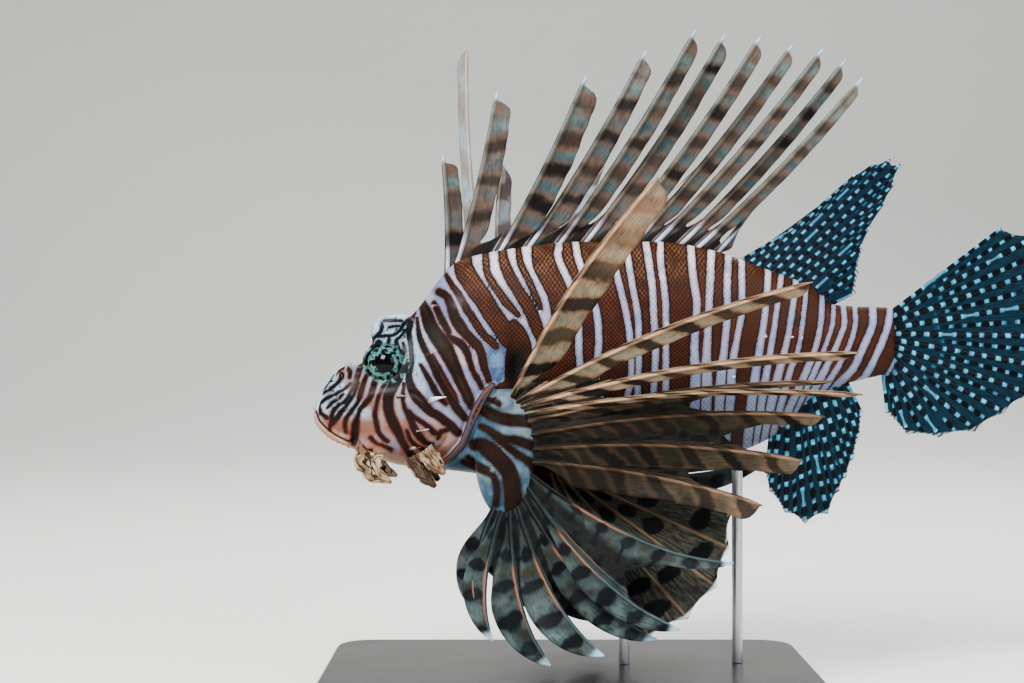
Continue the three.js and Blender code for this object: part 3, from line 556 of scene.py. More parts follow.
above_middle = points[:, 2] - (back_line(points[:, 0]) + belly_line(points[:, 0])) / 2
markings = {
    "pale_first": pale_first,
    "pale_second": pale_second,
    "face": np.clip(low_face, 0, 1) * on_head,
    "ink": ink_zone * on_head,
    "scaly": smoothstep(u + (w - 25) * 0.35, 58, 74) * ~on_pad,
    "orbit": smoothstep(from_eye, 1.1, 0.96) * smoothstep(from_middle, 5, 8),
    # low: painted shade, the lower flank under the fins painted darker
    "low": smoothstep(w, 24, -4) * ~on_head * ~on_pad,
    "glint": np.max([hill(side_view, x, z, 1.3, 1.1) for x, z in glints], axis=0),
    "gill_blue": np.clip(hill(side_view, 76, 16, 6, 12) * 1.5, 0, 1) * on_head,
    "gill_dark": np.clip(hill(side_view, 84, 13.5, 5, 9) * 1.5, 0, 1),
    "pad": on_pad,
    # back: painted light from above, the top of the fish painted lighter
    "back": smoothstep(w, 38, 62),
    "throat": smoothstep(above_belly, 7, 0.5) * smoothstep(u, 92, 62) * ~on_pad,
    "strap": strap,
    "mouth": mouth,
    "along": points[:, 0],
    "girth": np.arctan2(above_middle, from_middle + 9) * 34,
}
for marking, values in markings.items():
    give(skin, marking, values)


# Finishes: paint is mixed from numbers that change over a surface, written as plain arithmetic
class Signal:
    """A number that changes over a surface"""

    def __init__(self, finish, socket):
        self.finish = finish
        self.socket = socket

    def math(self, operation, *others, swap=False):
        values = [self, *others]
        if swap:
            values.reverse()
        return self.finish.node("ShaderNodeMath", {"operation": operation}, dict(enumerate(values)))

    def __abs__(self):
        return self.math("ABSOLUTE")

    def __add__(self, other):
        return self.math("ADD", other)

    def __mul__(self, other):
        return self.math("MULTIPLY", other)

    def __sub__(self, other):
        return self.math("SUBTRACT", other)

    def __rsub__(self, other):
        return self.math("SUBTRACT", other, swap=True)

    def __truediv__(self, other):
        return self.math("DIVIDE", other)

    def __neg__(self):
        return self.math("MULTIPLY", -1)

    __radd__ = __add__
    __rmul__ = __mul__

    def ramp(self, low, high):
        """0 below low, 1 above high and smooth between them"""
        ends = {"Value": self, "From Min": low, "From Max": high}
        return self.finish.node("ShaderNodeMapRange", {"interpolation_type": "SMOOTHSTEP"}, ends)


class Finish:
    """A material with one shader, and the nodes that feed it"""

    def __init__(self, name, **constants):
        self.material = bpy.data.materials.new(name)
        self.material.use_nodes = True
        self.tree = self.material.node_tree
        self.shader = self.tree.nodes["Principled BSDF"]
        for socket, value in constants.items():
            self.shader.inputs[socket.replace("_", " ")].default_value = value

    def node(self, kind, settings, sockets, output=0):
        made = self.tree.nodes.new(kind)
        for name, value in settings.items():
            setattr(made, name, value)
        for name, value in sockets.items():
            self.feed(made.inputs[name], value)
        return Signal(self, made.outputs[output])

    def feed(self, socket, value):
        if isinstance(value, Signal):
            self.tree.links.new(value.socket, socket)
        else:
            socket.default_value = value

    def attribute(self, name, output="Fac"):
        return self.node("ShaderNodeAttribute", {"attribute_name": name}, {}, output)

    def place(self):
        return self.node("ShaderNodeTexCoord", {}, {}, "Object")

    def noise(self, scale, detail=3, vector=None):
        sockets = {"Vector": vector or self.place(), "Scale": scale, "Detail": detail}
        return self.node("ShaderNodeTexNoise", {}, sockets)

    def vector(self, x, y, z=0.0):
        return self.node("ShaderNodeCombineXYZ", {}, {"X": x, "Y": y, "Z": z})

    def chance(self, lane, step=None):
        """A random number for each lane, or for each step of each lane"""
        if step is None:
            return self.node("ShaderNodeTexWhiteNoise", {"noise_dimensions": "1D"}, {"W": lane})
        cell = self.vector(lane, step)
        return self.node("ShaderNodeTexWhiteNoise", {"noise_dimensions": "2D"}, {"Vector": cell})

    def mix(self, amount, first, second):
        """Colours: the first where amount is 0 and the second where it is 1"""
        return self.node("ShaderNodeMix", {"data_type": "RGBA"}, {0: amount, 6: first, 7: second}, 2)

    def layers(self, colour, *coats):
        """A colour under coats of paint, each given as how much it covers and its own colour"""
        for amount, coat in coats:
            colour = self.mix(amount, colour, coat)
        return colour

    def paint(self, colour, roughness=None, height=None, depth=0.0, alpha=None):
        self.feed(self.shader.inputs["Base Color"], colour)
        if roughness is not None:
            self.feed(self.shader.inputs["Roughness"], roughness)
        if alpha is not None:
            self.feed(self.shader.inputs["Alpha"], alpha)
        if height is not None:
            bump = self.node("ShaderNodeBump", {}, {"Height": height, "Distance": depth, "Strength": 1.0})
            self.feed(self.shader.inputs["Normal"], bump)


def rgb(red, green, blue):
    """A colour by its usual screen values from 0 to 255"""
    linear = [(c / 255 / 12.92) if c < 11 else ((c / 255 + 0.055) / 1.055) ** 2.4 for c in (red, green, blue)]
    return (*linear, 1)


finish = Finish("lionfish_skin", Coat_Weight=0.06, Coat_Roughness=0.16, Specular_IOR_Level=0.15)
first, second = finish.attribute("pale_first"), finish.attribute("pale_second")
face, ink, back, low, pad, scaly, orbit, strap_depth = (
    finish.attribute(name) for name in ("face", "ink", "back", "low", "pad", "scaly", "orbit", "strap"))
apart = abs(first - second) - 0.45
pale = first.math("MAXIMUM", second).math("MINIMUM", apart)
pale = pale + (finish.noise(500, 2) - 0.5) * 0.7 + (finish.noise(1700, 2) - 0.5) * 0.4
wear = finish.noise(170, 4)
cloud = finish.noise(60, 3)
fine = finish.noise(2600, 3)
column = finish.attribute("along") * 0.58 + (finish.noise(260, 2) - 0.5) * 0.7
row = finish.attribute("girth") * 0.5 + (finish.noise(330, 2) - 0.5) * 0.6


def from_scale(shift):
    """How far a place is from the middle of the nearest scale in every other row"""
    across, up = ((way + shift).math("FRACT") - 0.5 for way in (column, row))
    return (across * across + up * up).math("SQRT")


def worn(one, other, low_end=0.4, high_end=0.6):
    """One colour in patches of another"""
    return finish.mix(wear.ramp(low_end, high_end), rgb(*one), rgb(*other))


scale_dome = from_scale(0.0).math("MINIMUM", from_scale(0.5)).ramp(0.42, 0.14) * scaly
rear = finish.attribute("along").ramp(134, 176)
rim = (-pale).ramp(0.75, 0.1)
paired = first.math("MINIMUM", second).ramp(-2.4, -1.3)
# The lighter middles of the scales: partly the scales' own pattern, partly a painted highlight
scale_net_and_highlight = scale_dome * (-pale).ramp(0.3, 1.2) * (wear.ramp(0.34, 0.62) * 0.7 + 0.3) * (1 - rear * 0.45)
inner_brown = finish.mix((-pale).ramp(1.2, 2.4), rgb(19, 9, 6), worn((52, 31, 18), (30, 17, 11)))
brown = finish.layers(
    worn((40, 16, 8), (22, 9, 5), 0.35, 0.7),
    (rear * 0.8, worn((62, 30, 17), (38, 18, 10), 0.35, 0.7)),
    # painted highlight on the scales, lighter towards the back as painted light from above
    (scale_net_and_highlight, finish.mix(back, rgb(84, 40, 20), rgb(112, 76, 52))),
    (paired * 0.6, worn((90, 40, 20), (54, 26, 14))),
    # painted shade: the brown is darker low on the flank
    (low * 0.4, rgb(34, 16, 9)),
    ((1 - scaly) * 0.85, inner_brown),
    (face * 0.8, rgb(32, 13, 8)),
    # painted shade: the browns of the pectoral base are painted darker, as in the shadow of the fins
    (pad * 0.9, worn((22, 8, 5), (36, 16, 10), 0.4, 0.62)),
    (ink, rgb(4, 9, 20)),
    (finish.attribute("gill_dark"), rgb(10, 6, 5)),
    (rim * 0.7 * (1 - ink) * (1 - pad * 0.8), finish.mix(1 - scaly, rgb(18, 8, 6), rgb(84, 38, 22))))

head_white = finish.mix(cloud.ramp(0.42, 0.6), rgb(96, 114, 146), rgb(154, 158, 166))
# painted shade: the pectoral base's own teal and white, painted darker as in the shadow of the fins
pad_white = finish.mix(cloud.ramp(0.42, 0.58), rgb(54, 82, 96), rgb(108, 122, 128))
rim_of_white = finish.mix(pad, finish.mix(face, rgb(80, 66, 82), rgb(110, 58, 40)), rgb(26, 32, 40))
scribble = abs(finish.noise(300, 1) - 0.5).ramp(0.024, 0.01)
white = finish.layers(
    # painted light from above: the whites are lighter towards the back
    finish.mix(back, rgb(152, 160, 188), rgb(216, 208, 208)),
    (1 - scaly, head_white),
    (cloud.ramp(0.4, 0.65) * 0.5, rgb(166, 146, 154)),
    # painted shade: the whites are greyer low on the flank
    (low * 0.75, rgb(92, 106, 112)),
    (pad, pad_white),
    (face * 0.92, worn((120, 76, 56), (136, 108, 92), 0.42)),
    (ink * 0.8, rgb(158, 194, 208)),
    (finish.attribute("gill_blue") * 0.9, worn((24, 64, 104), (84, 120, 148), 0.42)),
    (wear.ramp(0.5, 0.72) * 0.55, rgb(88, 114, 160)),
    (pale.ramp(1.1, 0.1) * 0.6, rim_of_white),
    (fine.ramp(0.52, 0.75) * 0.35, rgb(76, 72, 88)),
    (scale_dome.ramp(0.6, 0.1) * 0.3 * scaly, rgb(72, 74, 104)),
    (finish.attribute("throat") * 0.8, rgb(160, 124, 92)),
    (scribble * ink * 0.8, rgb(10, 20, 34)))

soft_edge = face.math("MAXIMUM", pad) * 0.2 + 0.14
edge = (pale / soft_edge).ramp(-1, 1)
teal = finish.mix(finish.noise(700, 3).ramp(0.4, 0.6), rgb(84, 118, 108), rgb(32, 72, 84))
teal = finish.mix(finish.noise(400, 1).ramp(0.47, 0.51), teal, rgb(4, 10, 16))
strap_colour = finish.layers(
    worn((98, 68, 54), (76, 66, 76)),
    (strap_depth.ramp(1.3, 1.7), rgb(34, 18, 13)),
    (strap_depth.ramp(0.55, 0.2), rgb(16, 8, 6)))
glint = finish.attribute("glint").ramp(0.62, 0.9)
colour = finish.layers(
    brown,
    (edge, white),
    (orbit, teal),
    (strap_depth.ramp(-0.1, 0.15), strap_colour),
    # painted shadow: a dark line in the slit of the mouth, along its groove
    (finish.attribute("mouth").ramp(-0.25, 0.1), rgb(30, 18, 16)),
    (glint, rgb(222, 234, 244)))
height = scale_dome * 0.5 + fine * 0.3 + edge * 0.14 + glint * 0.8
finish.paint(colour, roughness=0.38 + wear * 0.22, height=height, depth=0.00026)


def shade_smooth(piece):
    for polygon in piece.data.polygons:
        polygon.use_smooth = True


def dress(piece, finish, slot, *nodes):
    """Gives a piece its finish and smooth shading, hangs it from the root and hides the solids that it
    replaces; the slot is not used
    """
    piece.data.materials.clear()
    piece.data.materials.append(finish.material)
    shade_smooth(piece)
    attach(piece, "root")
    if nodes:
        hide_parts(*nodes)


dress(skin, finish, "skin", "head", "trunk", "tail_stem")


# Eyes: a glossy globe in each socket, black pupil in a pale teal iris with dark blots
eye_finish = Finish(
    "lionfish_eye", Roughness=0.12, Coat_Weight=0.2, Coat_Roughness=0.04, Specular_IOR_Level=0.12)
from_axis = eye_finish.attribute("from_axis")
blots = eye_finish.noise(400, 1) + (eye_finish.noise(1400, 2) - 0.5) * 0.2
iris = eye_finish.mix(eye_finish.noise(900, 3).ramp(0.4, 0.6), rgb(92, 130, 120), rgb(34, 76, 88))
iris = eye_finish.mix(blots.ramp(0.49, 0.53), iris, rgb(5, 12, 16))
pupil = (from_axis + (eye_finish.noise(400, 1) - 0.5) * 4).ramp(28.5, 27)
eye_finish.paint(eye_finish.mix(pupil, iris, rgb(1, 2, 4)))
outward = math.radians(3)
upward = math.radians(4)
for side, node in ((-1, "eye_left"), (1, "eye_right")):
    axis = unit(np.array([-math.sin(outward), side * math.cos(outward), math.sin(upward)]))
    centre = eye_centre * (1, side, 1)
    bpy.ops.mesh.primitive_uv_sphere_add(
        segments=96, ring_count=64, radius=eye_radius * MM, location=placed(centre))
    globe = bpy.context.object
    bpy.ops.object.transform_apply(location=True, rotation=True, scale=True)
    globe.name = f"{node}_globe"
    out = (read_points(globe) - centre) / eye_radius
    angle = np.degrees(np.arccos(np.clip(out @ axis, -1, 1)))
    bulge = 1 + 0.07 * np.exp(-((angle / 30) ** 2))
    write_points(globe, centre + out * eye_radius * bulge[:, None])
    give(globe, "from_axis", angle)
    dress(globe, eye_finish, "eye", node)


# Fins: each ray is a rib with thin membrane behind it or on both sides, and webs join the ribs
def turned(vectors, axes, angle):
    """Vectors turned about unit axes by an angle"""
    cosine = math.cos(angle)
    dots = np.sum(vectors * axes, axis=1)[:, None]
    return vectors * cosine + np.cross(axes, vectors) * math.sin(angle) + axes * dots * (1 - cosine)


class Ray:
    """One fin ray: where its rib runs, how thick it is and how wide its membrane is"""

    def __init__(self, root, length, direction, swing=0.0, bow=0.0, sunk=3.0, hook=0.0, rib=0.7):
        d, s = math.radians(direction), math.radians(swing)
        self.root = np.array(root, dtype=float)
        self.length = length
        self.ahead = np.array([math.cos(d) * math.cos(s), math.sin(s), math.sin(d) * math.cos(s)])
        self.bowed = np.array([-math.sin(d), 0, math.cos(d)])
        self.bow = bow
        self.hook = hook
        self.sunk = sunk / length
        self.rib = rib
        self.lean = 0.0
        self.nib = 6.0

    def at(self, t):
        t = np.asarray(t, dtype=float)
        past = np.maximum(t, 0)
        bend = 4 * self.bow * past * (1 - past) + self.hook * (past**5 - past)
        return self.root + self.ahead * (self.length * t)[:, None] + self.bowed * bend[:, None]


def fin(name, rays, steps, webs, columns, web_columns=4, sag=0.1, wave=0.0, tip_rows=1.25):
    """A fin as one closed sheet. columns gives, for a ray and lengths t, offsets and thicknesses."""
    t_rows = np.concatenate([[-1.0], 1 - (1 - np.linspace(0, 1, steps)) ** tip_rows])

    def edge(index, t, column):
        ray = rays[index]
        low, high = rays[max(0, index - 1)], rays[min(len(rays) - 1, index + 1)]
        far = np.maximum(t, 0.2)
        toward = high.at(far) - low.at(far)
        along = unit(ray.at(t + 0.02) - ray.at(t - 0.02))
        toward = unit(toward - along * np.sum(toward * along, axis=1)[:, None])
        toward = turned(toward, along, ray.lean)
        out = np.cross(along, toward)
        offset, thick, across = columns(ray, t)[column]
        lift = wave * np.sin(7 * t + index * 1.7) * np.maximum(0, offset) / 6
        middle = ray.at(t) + toward * offset[:, None] + out * lift[:, None]
        return middle, out, thick, across, np.abs(offset)

    sheets, present = [], []
    for index, ray in enumerate(rays):
        t = np.where(t_rows < 0, -ray.sunk, t_rows)
        count = len(columns(ray, t))
        for column in range(count):
            middle, out, thick, across, beside = edge(index, t, column)
            labels = (t * ray.length, across, index + 0 * t, beside, 0 * t, (1 - t) * ray.length)
            sheets.append((middle, out, thick, *labels))
            present.append(np.ones(len(t) - 1, dtype=bool))
        if index == len(rays) - 1:
            break
        web = webs[index]
        present[-1] = t_rows[:-1] < web - 1e-6
        for step in range(1, web_columns):
            s = step / web_columns
            dip = t * (1 - sag * math.sin(math.pi * s) * np.clip(t / min(web, 1), 0, 1) ** 3)
            a = edge(index, dip, count - 1)
            b = edge(index + 1, dip, 0)
            middle, out, thick = (one * (1 - s) + other * s for one, other in zip(a[:3], b[:3]))
            gap = np.linalg.norm(b[0] - a[0], axis=1)
            beside = np.minimum(a[4] + s * gap, b[4] + (1 - s) * gap)
            reach = ray.length * (1 - s) + rays[index + 1].length * s
            full = np.ones(len(t))
            labels = (dip * reach, full, (index + s) * full, beside, full, (1 - dip) * reach)
            sheets.append((middle, unit(out), thick, *labels))
            present.append(t_rows[:-1] < web - 1e-6)
    return stitched(name, sheets, present[:-1])


def stitched(name, sheets, present):
    """Joins columns of points into one closed sheet of two faces and its edges"""
    row_count = len(sheets[0][0])
    points, values = [], []
    for middle, out, thick, *labels in sheets:
        for face in (1, -1):
            points.append(middle + out * (face * thick)[:, None])
            values.append(labels)

    def place(column, row, below):
        return (column * 2 + below) * row_count + row

    def there(column, row):
        return 0 <= column < len(present) and 0 <= row < row_count - 1 and present[column][row]

    faces = []
    for c in range(len(present)):
        for r in range(row_count - 1):
            if not there(c, r):
                continue
            faces.append([place(c, r, 0), place(c, r + 1, 0), place(c + 1, r + 1, 0), place(c + 1, r, 0)])
            faces.append([place(c, r, 1), place(c + 1, r, 1), place(c + 1, r + 1, 1), place(c, r + 1, 1)])
            for seen, (c0, r0), (c1, r1) in (
                    (there(c - 1, r), (c, r), (c, r + 1)), (there(c + 1, r), (c + 1, r + 1), (c + 1, r)),
                    (there(c, r - 1), (c + 1, r), (c, r)), (there(c, r + 1), (c, r + 1), (c + 1, r + 1))):
                if not seen:
                    faces.append([place(c0, r0, 0), place(c0, r0, 1), place(c1, r1, 1), place(c1, r1, 0)])
    points = np.concatenate(points)
    used = np.unique(np.array([i for face in faces for i in face]))
    renumber = np.full(len(points), -1)
    renumber[used] = np.arange(len(used))
    piece = mesh_piece(name, points[used], [[renumber[i] for i in face] for face in faces])
    for number, label in enumerate(("along", "across", "ray", "beside", "web", "left")[:len(values[0])]):
        give(piece, label, np.concatenate([labels[number] for labels in values])[used])
    return piece


def vane(ray, t):
    """A stiff rib with a strip of membrane behind it"""
    to_tip = np.clip((1 - t) * ray.length / ray.nib, 0, 1)
    rib = ray.rib * (1 - 0.2 * np.clip(t, 0, 1)) * to_tip + 0.12
    strip = ray.strip(t)
    thin = 0.15 + 0 * t
    front = ray.front(t)
    profile = [(-rib * 1.05 - front, thin * 0.5, -1.0), (-rib * 0.95, thin + rib * 0.2, -0.3),
               (-rib * 0.6, rib * 0.8, -0.1), (0 * t, rib, 0.0), (rib * 0.6, rib * 0.8, 0.1),
               (rib * 0.95, thin + rib * 0.2, 0.2)]
    for share in (0.12, 0.3, 0.5, 0.7, 0.88, 1.0):
        pleat = 0.05 * (1 if share in (0.3, 0.7) else -1)
        edge_thin = thin * (1 if share < 1 else 0.5)
        profile.append((rib * 1.1 + strip * share, edge_thin + pleat * (share < 0.8), 0.2 + 0.8 * share))
    return [(offset, thick + 0 * t, np.full(len(t), across)) for offset, thick, across in profile]


# Spiny dorsal fin: stiff spines, each the front edge of its own banner of banded membrane
spine_roots = [54.9, 59, 76.4, 88.3, 101.1, 111.8, 122.6, 132, 140.7, 151, 158, 166.3]
spine_lengths = [49.5, 74, 81, 96, 104.5, 106, 105, 107, 105, 104, 97, 30]
spine_angles = [92, 77, 63.7, 59.2, 57.5, 56.2, 54.2, 51.4, 49.3, 48.1, 45.9, 52]
strip_widths = [5.2, 7, 8.3, 6.2, 5.1, 5, 4.6, 4.1, 3.7, 3.4, 3.1, 2.6]


def banner(width, start, end, bare=6.0, ragged=0.0):
    """Membrane that widens from the root, runs level and ends in a rounded lobe below the tip"""
    def strip(t):
        lobe = np.clip((t - (end - bare / 100)) / (bare / 100), 0, 1)
        taper = 1 - 0.18 * smoothstep(t, 0.5, end)
        uneven = ragged * np.sin(43 * t + width * 9) * np.sin(17 * t + width)
        return 0.2 + width * smoothstep(t, start, start + 0.2) * np.sqrt(1 - lobe**3) * (taper + uneven)
    return strip


spines = []
for index, root in enumerate(spine_roots):
    length = spine_lengths[index]
    lean = (1 if index % 2 else -1) * (2 + index % 3)
    ray = Ray((root, swing_of(root), back_line(root) - 1), length, spine_angles[index], lean, -length * 0.018,
              rib=0.95)
    ray.front = lambda t: 0.1 + 0 * t
    ray.strip = banner(strip_widths[index], 0.02, 1 - 4.5 / length, ragged=0.035)
    spines.append(ray)
spiny_dorsal = fin("spiny_dorsal_fin", spines, 44, [0.13] * 11, vane, sag=0.25, wave=0.5)


def banded_finish(
        name, light, warm, end_tone, fringe, dark, web_tone, rib_tone, foot, period, slant, tip_glow,
        blue_edge=0.0, oval=0.0, olive_in_shade=None, contrast=0.45, softness=0.14, fade=0.0, rib_start=(5, 16),
        rib_end=(900, 901), bar_end=(-2, -1)):
    """Membrane with dark blotched bars at a spacing, on a pale rib. From the fifth ray on it turns to the
    membrane's own dark olive, painted near black towards the root as shade inside the fan, if such colours
    are given."""
    finish = Finish(name, Roughness=0.45, Coat_Weight=0.04, Coat_Roughness=0.3, Specular_IOR_Level=0.12)
    along, across, ray, web, left = (
        finish.attribute(label) for label in ("along", "across", "ray", "web", "left"))
    whole_ray = ray.math("ROUND")
    phase = along / period + finish.chance(whole_ray) + across * slant + (finish.noise(80, 2) - 0.5) * 0.6
    strength = finish.chance(phase.math("FLOOR"), whole_ray)
    from_bar = abs(phase.math("FRACT") - 0.5)
    ragged = (finish.noise(420, 3) - 0.5) * 0.16
    off_middle = abs(across - 0.55)
    shaded_olive_rays = ray.ramp(3.4, 4.4) if olive_in_shade else 0.0
    bar_width = from_bar + ragged + off_middle * off_middle * (0.06 + oval) + shaded_olive_rays * 0.05
    faded = (0.6 - ray).ramp(0, 0.1) * along.ramp(62, 96) * fade
    bars = bar_width.ramp(0.3, 0.3 - softness) * (strength * contrast + 1 - contrast)
    bars = bars * (1 - faded) * left.ramp(*bar_end)

    base = finish.layers(
        light,
        (across.ramp(0.3, 0.95) * 0.25, end_tone),
        (left.ramp(46, 6) * 0.65, end_tone),
        (finish.noise(140, 2).ramp(0.36, 0.68), warm),
        (finish.noise(230, 3).ramp(0.42, 0.68) * 0.5, finish.mix(0.5, dark, light)))
    # painted shade: from the fifth ray on, the membrane's own dark olive goes near black towards the root, as
    # shade inside the fan
    if olive_in_shade:
        base = finish.layers(
            base,
            (shaded_olive_rays * (left.ramp(6, 30) * 0.3 + 0.65), finish.mix(finish.noise(120, 3).ramp(0.4, 0.6), *olive_in_shade)),
            (shaded_olive_rays * left.ramp(20, 64) * 0.9, olive_in_shade[0]))
    rib = abs(across).ramp(0.26, 0.08) * (1 - web)
    rib_colour = finish.layers(
        foot,
        (along.ramp(*rib_start), rib_tone),
        (along.ramp(*rib_end), light),
        (left.ramp(75, 20) * across.ramp(0.0, -0.25) * blue_edge, rgb(118, 174, 200)))
    blotches = finish.noise(110, 1).ramp(0.56, 0.62) * web
    grain = finish.noise(2.2, 4, finish.vector(along * 0.1, across * 9, ray * 3))
    colour = finish.layers(
        base,
        ((from_bar + ragged).ramp(0.42, 0.26) * (0.45 - shaded_olive_rays * 0.35), fringe),
        # webs: their own dark membrane, painted near black partly as shade between the rays
        (web * 0.9, web_tone),
        (rib * (1 - shaded_olive_rays * (left.ramp(10, 60) * 0.2 + 0.7)), rib_colour),
        (bars.math("MAXIMUM", blotches) * (1 - rib * 0.3) * 0.97, dark),
        (grain.ramp(0.48, 0.72) * 0.5, dark),
        (left.ramp(5, 2) * (1 - web) * tip_glow, rgb(168, 204, 222)))
    finish.paint(colour, height=grain, depth=0.0002)
    return finish


dorsal_finish = banded_finish(
    "dorsal_membrane", light=rgb(58, 76, 80), warm=rgb(84, 78, 76), end_tone=rgb(104, 122, 120),
    fringe=rgb(104, 70, 48), dark=rgb(14, 12, 11), web_tone=rgb(26, 17, 13), rib_tone=rgb(106, 98, 86),
    foot=rgb(196, 194, 212), period=15, slant=-0.12, tip_glow=0.9, blue_edge=1.0, contrast=0.6,
    softness=0.22, bar_end=(8, 14))
dress(spiny_dorsal, dorsal_finish, "banded_fin", "dorsal_spines")


# Median soft fins: clear membrane over fine rays, which carry rows of black spots and pale dashes; their blue
# tint is painted light
def web_ray(ray, t):
    """A slender rib in the middle of a clear membrane"""
    rib = ray.rib * (1 - 0.6 * np.clip(t, 0, 1)) + 0.05
    thin = 0.13 + 0 * t
    profile = [
        (-rib * 1.4, thin, 1.0), (-rib * 0.7, rib * 0.7, 0.4), (0 * t, rib, 0.0),
        (rib * 0.7, rib * 0.7, 0.4), (rib * 1.4, thin, 1.0)]
    return [(offset, thick + 0 * t, np.full(len(t), across)) for offset, thick, across in profile]


def soft_fin(name, roots, lengths, angles, swings, rib, sag=0.035, steps=30):
    rays = [Ray(*measures, rib=rib) for measures in zip(roots, lengths, angles, swings)]
    return fin(name, rays, steps, [2] * len(rays), web_ray, web_columns=6, sag=sag, tip_rows=1.0)


def spotted_finish(
        name, clear, haze, dash, spot, period, width, on_rib, bead, see_through, stretch=3.1, broad=0.8):
    """Clear membrane with rows of spots along the rays, or between them, and a beaded edge"""
    finish = Finish(name, Roughness=0.4, Coat_Weight=0.05, Coat_Roughness=0.2, Specular_IOR_Level=0.12)
    along, ray, beside, left = (finish.attribute(label) for label in ("along", "ray", "beside", "left"))

    def row_of_spots(lane, away):
        """The spots of one lane, and the dashes between them"""
        step = along / period + finish.chance(lane) * 3 + (finish.noise(130, 2) - 0.5) * 0.5
        chance = finish.chance(lane, step.math("FLOOR"))
        dv = (step.math("FRACT") - 0.5) * stretch
        far = (away * away + dv * dv).math("SQRT") + (finish.noise(900, 2) - 0.5) * 0.3
        spots = far.ramp(1.12, 0.88) * (chance.ramp(0.05, 0.12) if on_rib else chance.ramp(0.3, 0.4))
        bright = chance.ramp(0.0, 1.0) * 0.6 + 0.4
        return spots, abs(dv).ramp(0.9, 1.2) * abs(away).ramp(broad, broad - 0.45) * bright

    part = ray.math("FRACT")
    middle = 0.5 - abs(part - 0.5)
    gap = beside / middle.math("MAXIMUM", 0.03)
    between = (0.5 - middle) * gap / width
    if on_rib:
        spots, dashes = row_of_spots(ray.math("ROUND"), beside / width)
        more_spots, more_dashes = row_of_spots(ray.math("FLOOR") + 0.5, between)
        room = gap.ramp(5.5, 7.5)
        spots = spots.math("MAXIMUM", more_spots * room)
        dashes = dashes.math("MAXIMUM", more_dashes * room * 0.7)
    else:
        spots, dashes = row_of_spots((ray + 0.5).math("ROUND"), (part - 0.5) * 2.2)
    grain = finish.noise(1.7, 4, finish.vector(along * 0.12, ray * 8))
    base = finish.mix(grain.ramp(0.38, 0.66) * 0.6, clear, haze)
    rib = beside.ramp(0.75, 0.3)
    beads = left.ramp(2.2, 0.8) * (along / period * 3).math("FRACT").ramp(0.2, 0.4) * bead
    colour = finish.layers(
        base,
        ((rib * 0.45).math("MAXIMUM", dashes * 0.95) if on_rib else rib * 0.55, dash),
        (spots * 0.97, spot),
        (beads, rgb(206, 226, 236)))
    solid = (rib + spots + dashes * 0.6 + beads + grain * 0.3).ramp(-0.3, 0.7)
    alpha = solid * (1 - see_through) + see_through
    finish.paint(colour, height=grain, depth=0.00018, alpha=alpha)
    return finish


# painted light: the blue of the membrane, its haze and its dashes stands in for blue light on clear fins with
# black and white rays
soft_dorsal_finish = spotted_finish(
    "soft_dorsal_membrane", clear=rgb(7, 24, 38), haze=rgb(20, 54, 74), dash=rgb(96, 164, 196),
    spot=rgb(2, 3, 6), period=5.0, width=1.35, on_rib=True, bead=0.5, see_through=0.94, stretch=3.6,
    broad=0.62)
tail_finish = spotted_finish(
    "tail_membrane", clear=rgb(7, 28, 42), haze=rgb(22, 56, 72), dash=rgb(104, 178, 210), spot=rgb(2, 3, 6),
    period=5.9, width=1.5, on_rib=True, bead=0.5, see_through=0.94)
dorsal_xs = np.linspace(176, 214, 12)
soft_dorsal = soft_fin(
    "soft_dorsal_fin", [(x, swing_of(x), back_line(x) - 1) for x in dorsal_xs],
    [26, 45, 57, 65, 69, 69, 60, 50, 37, 28, 19, 12], [31, 39, 43, 44, 44, 43, 42, 42, 42, 42, 36, 25],
    [3] * 12, 0.45)
dress(soft_dorsal, soft_dorsal_finish, "spotted_fin", "dorsal_soft_fin")
anal_xs = np.linspace(189, 221, 10)
anal = soft_fin(
    "anal_fin_membrane", [(x, swing_of(x), belly_line(x) + 1) for x in anal_xs],
    [16, 26, 38, 47, 48, 42, 38, 32, 24, 15], [-98, -98, -91, -85, -78, -75, -74, -72, -68, -63],
    [2] * 10, 0.5)
dress(anal, tail_finish, "spotted_fin", "anal_fin")
caudal = soft_fin(
    "caudal_fin_membrane", [(238.5 - 2 * u, swing_of(239), 36 - 21 * u) for u in np.linspace(0, 1, 12)],
    [62, 73, 77, 77, 76, 72, 67, 59, 52, 42, 33, 20], [37, 29, 19, 9, -1, -10, -19, -28, -40, -54, -70, -84],
    [5] * 12, 0.55, steps=34)
dress(caudal, tail_finish, "spotted_fin", "caudal_fin")

# Pelvic fins: broad dark fans under the pectoral bases, with pale ribs and round black spots
dusky_finish = spotted_finish(
    "dusky_membrane", clear=rgb(40, 38, 33), haze=rgb(80, 84, 78), dash=rgb(124, 100, 78), spot=rgb(4, 5, 7),
    period=11.5, width=2.0, on_rib=False, bead=0.95, see_through=0.96)
for side, lift, name, node in (
        (-1, 0, "pelvic_fan_left", "pelvic_fin_left"), (1, -3, "pelvic_fan_right", "pelvic_fin_right")):
    fan = soft_fin(
        name, [(x, side * 8, belly_line(x) + 1.5) for x in np.linspace(98, 107, 6)], [66, 75, 77, 76, 71, 66],
        [angle + lift for angle in (-71, -60, -48, -36, -24, -12)], [side * 14] * 6, 0.42, sag=0.025)
    dress(fan, dusky_finish, "dark_fin", node)

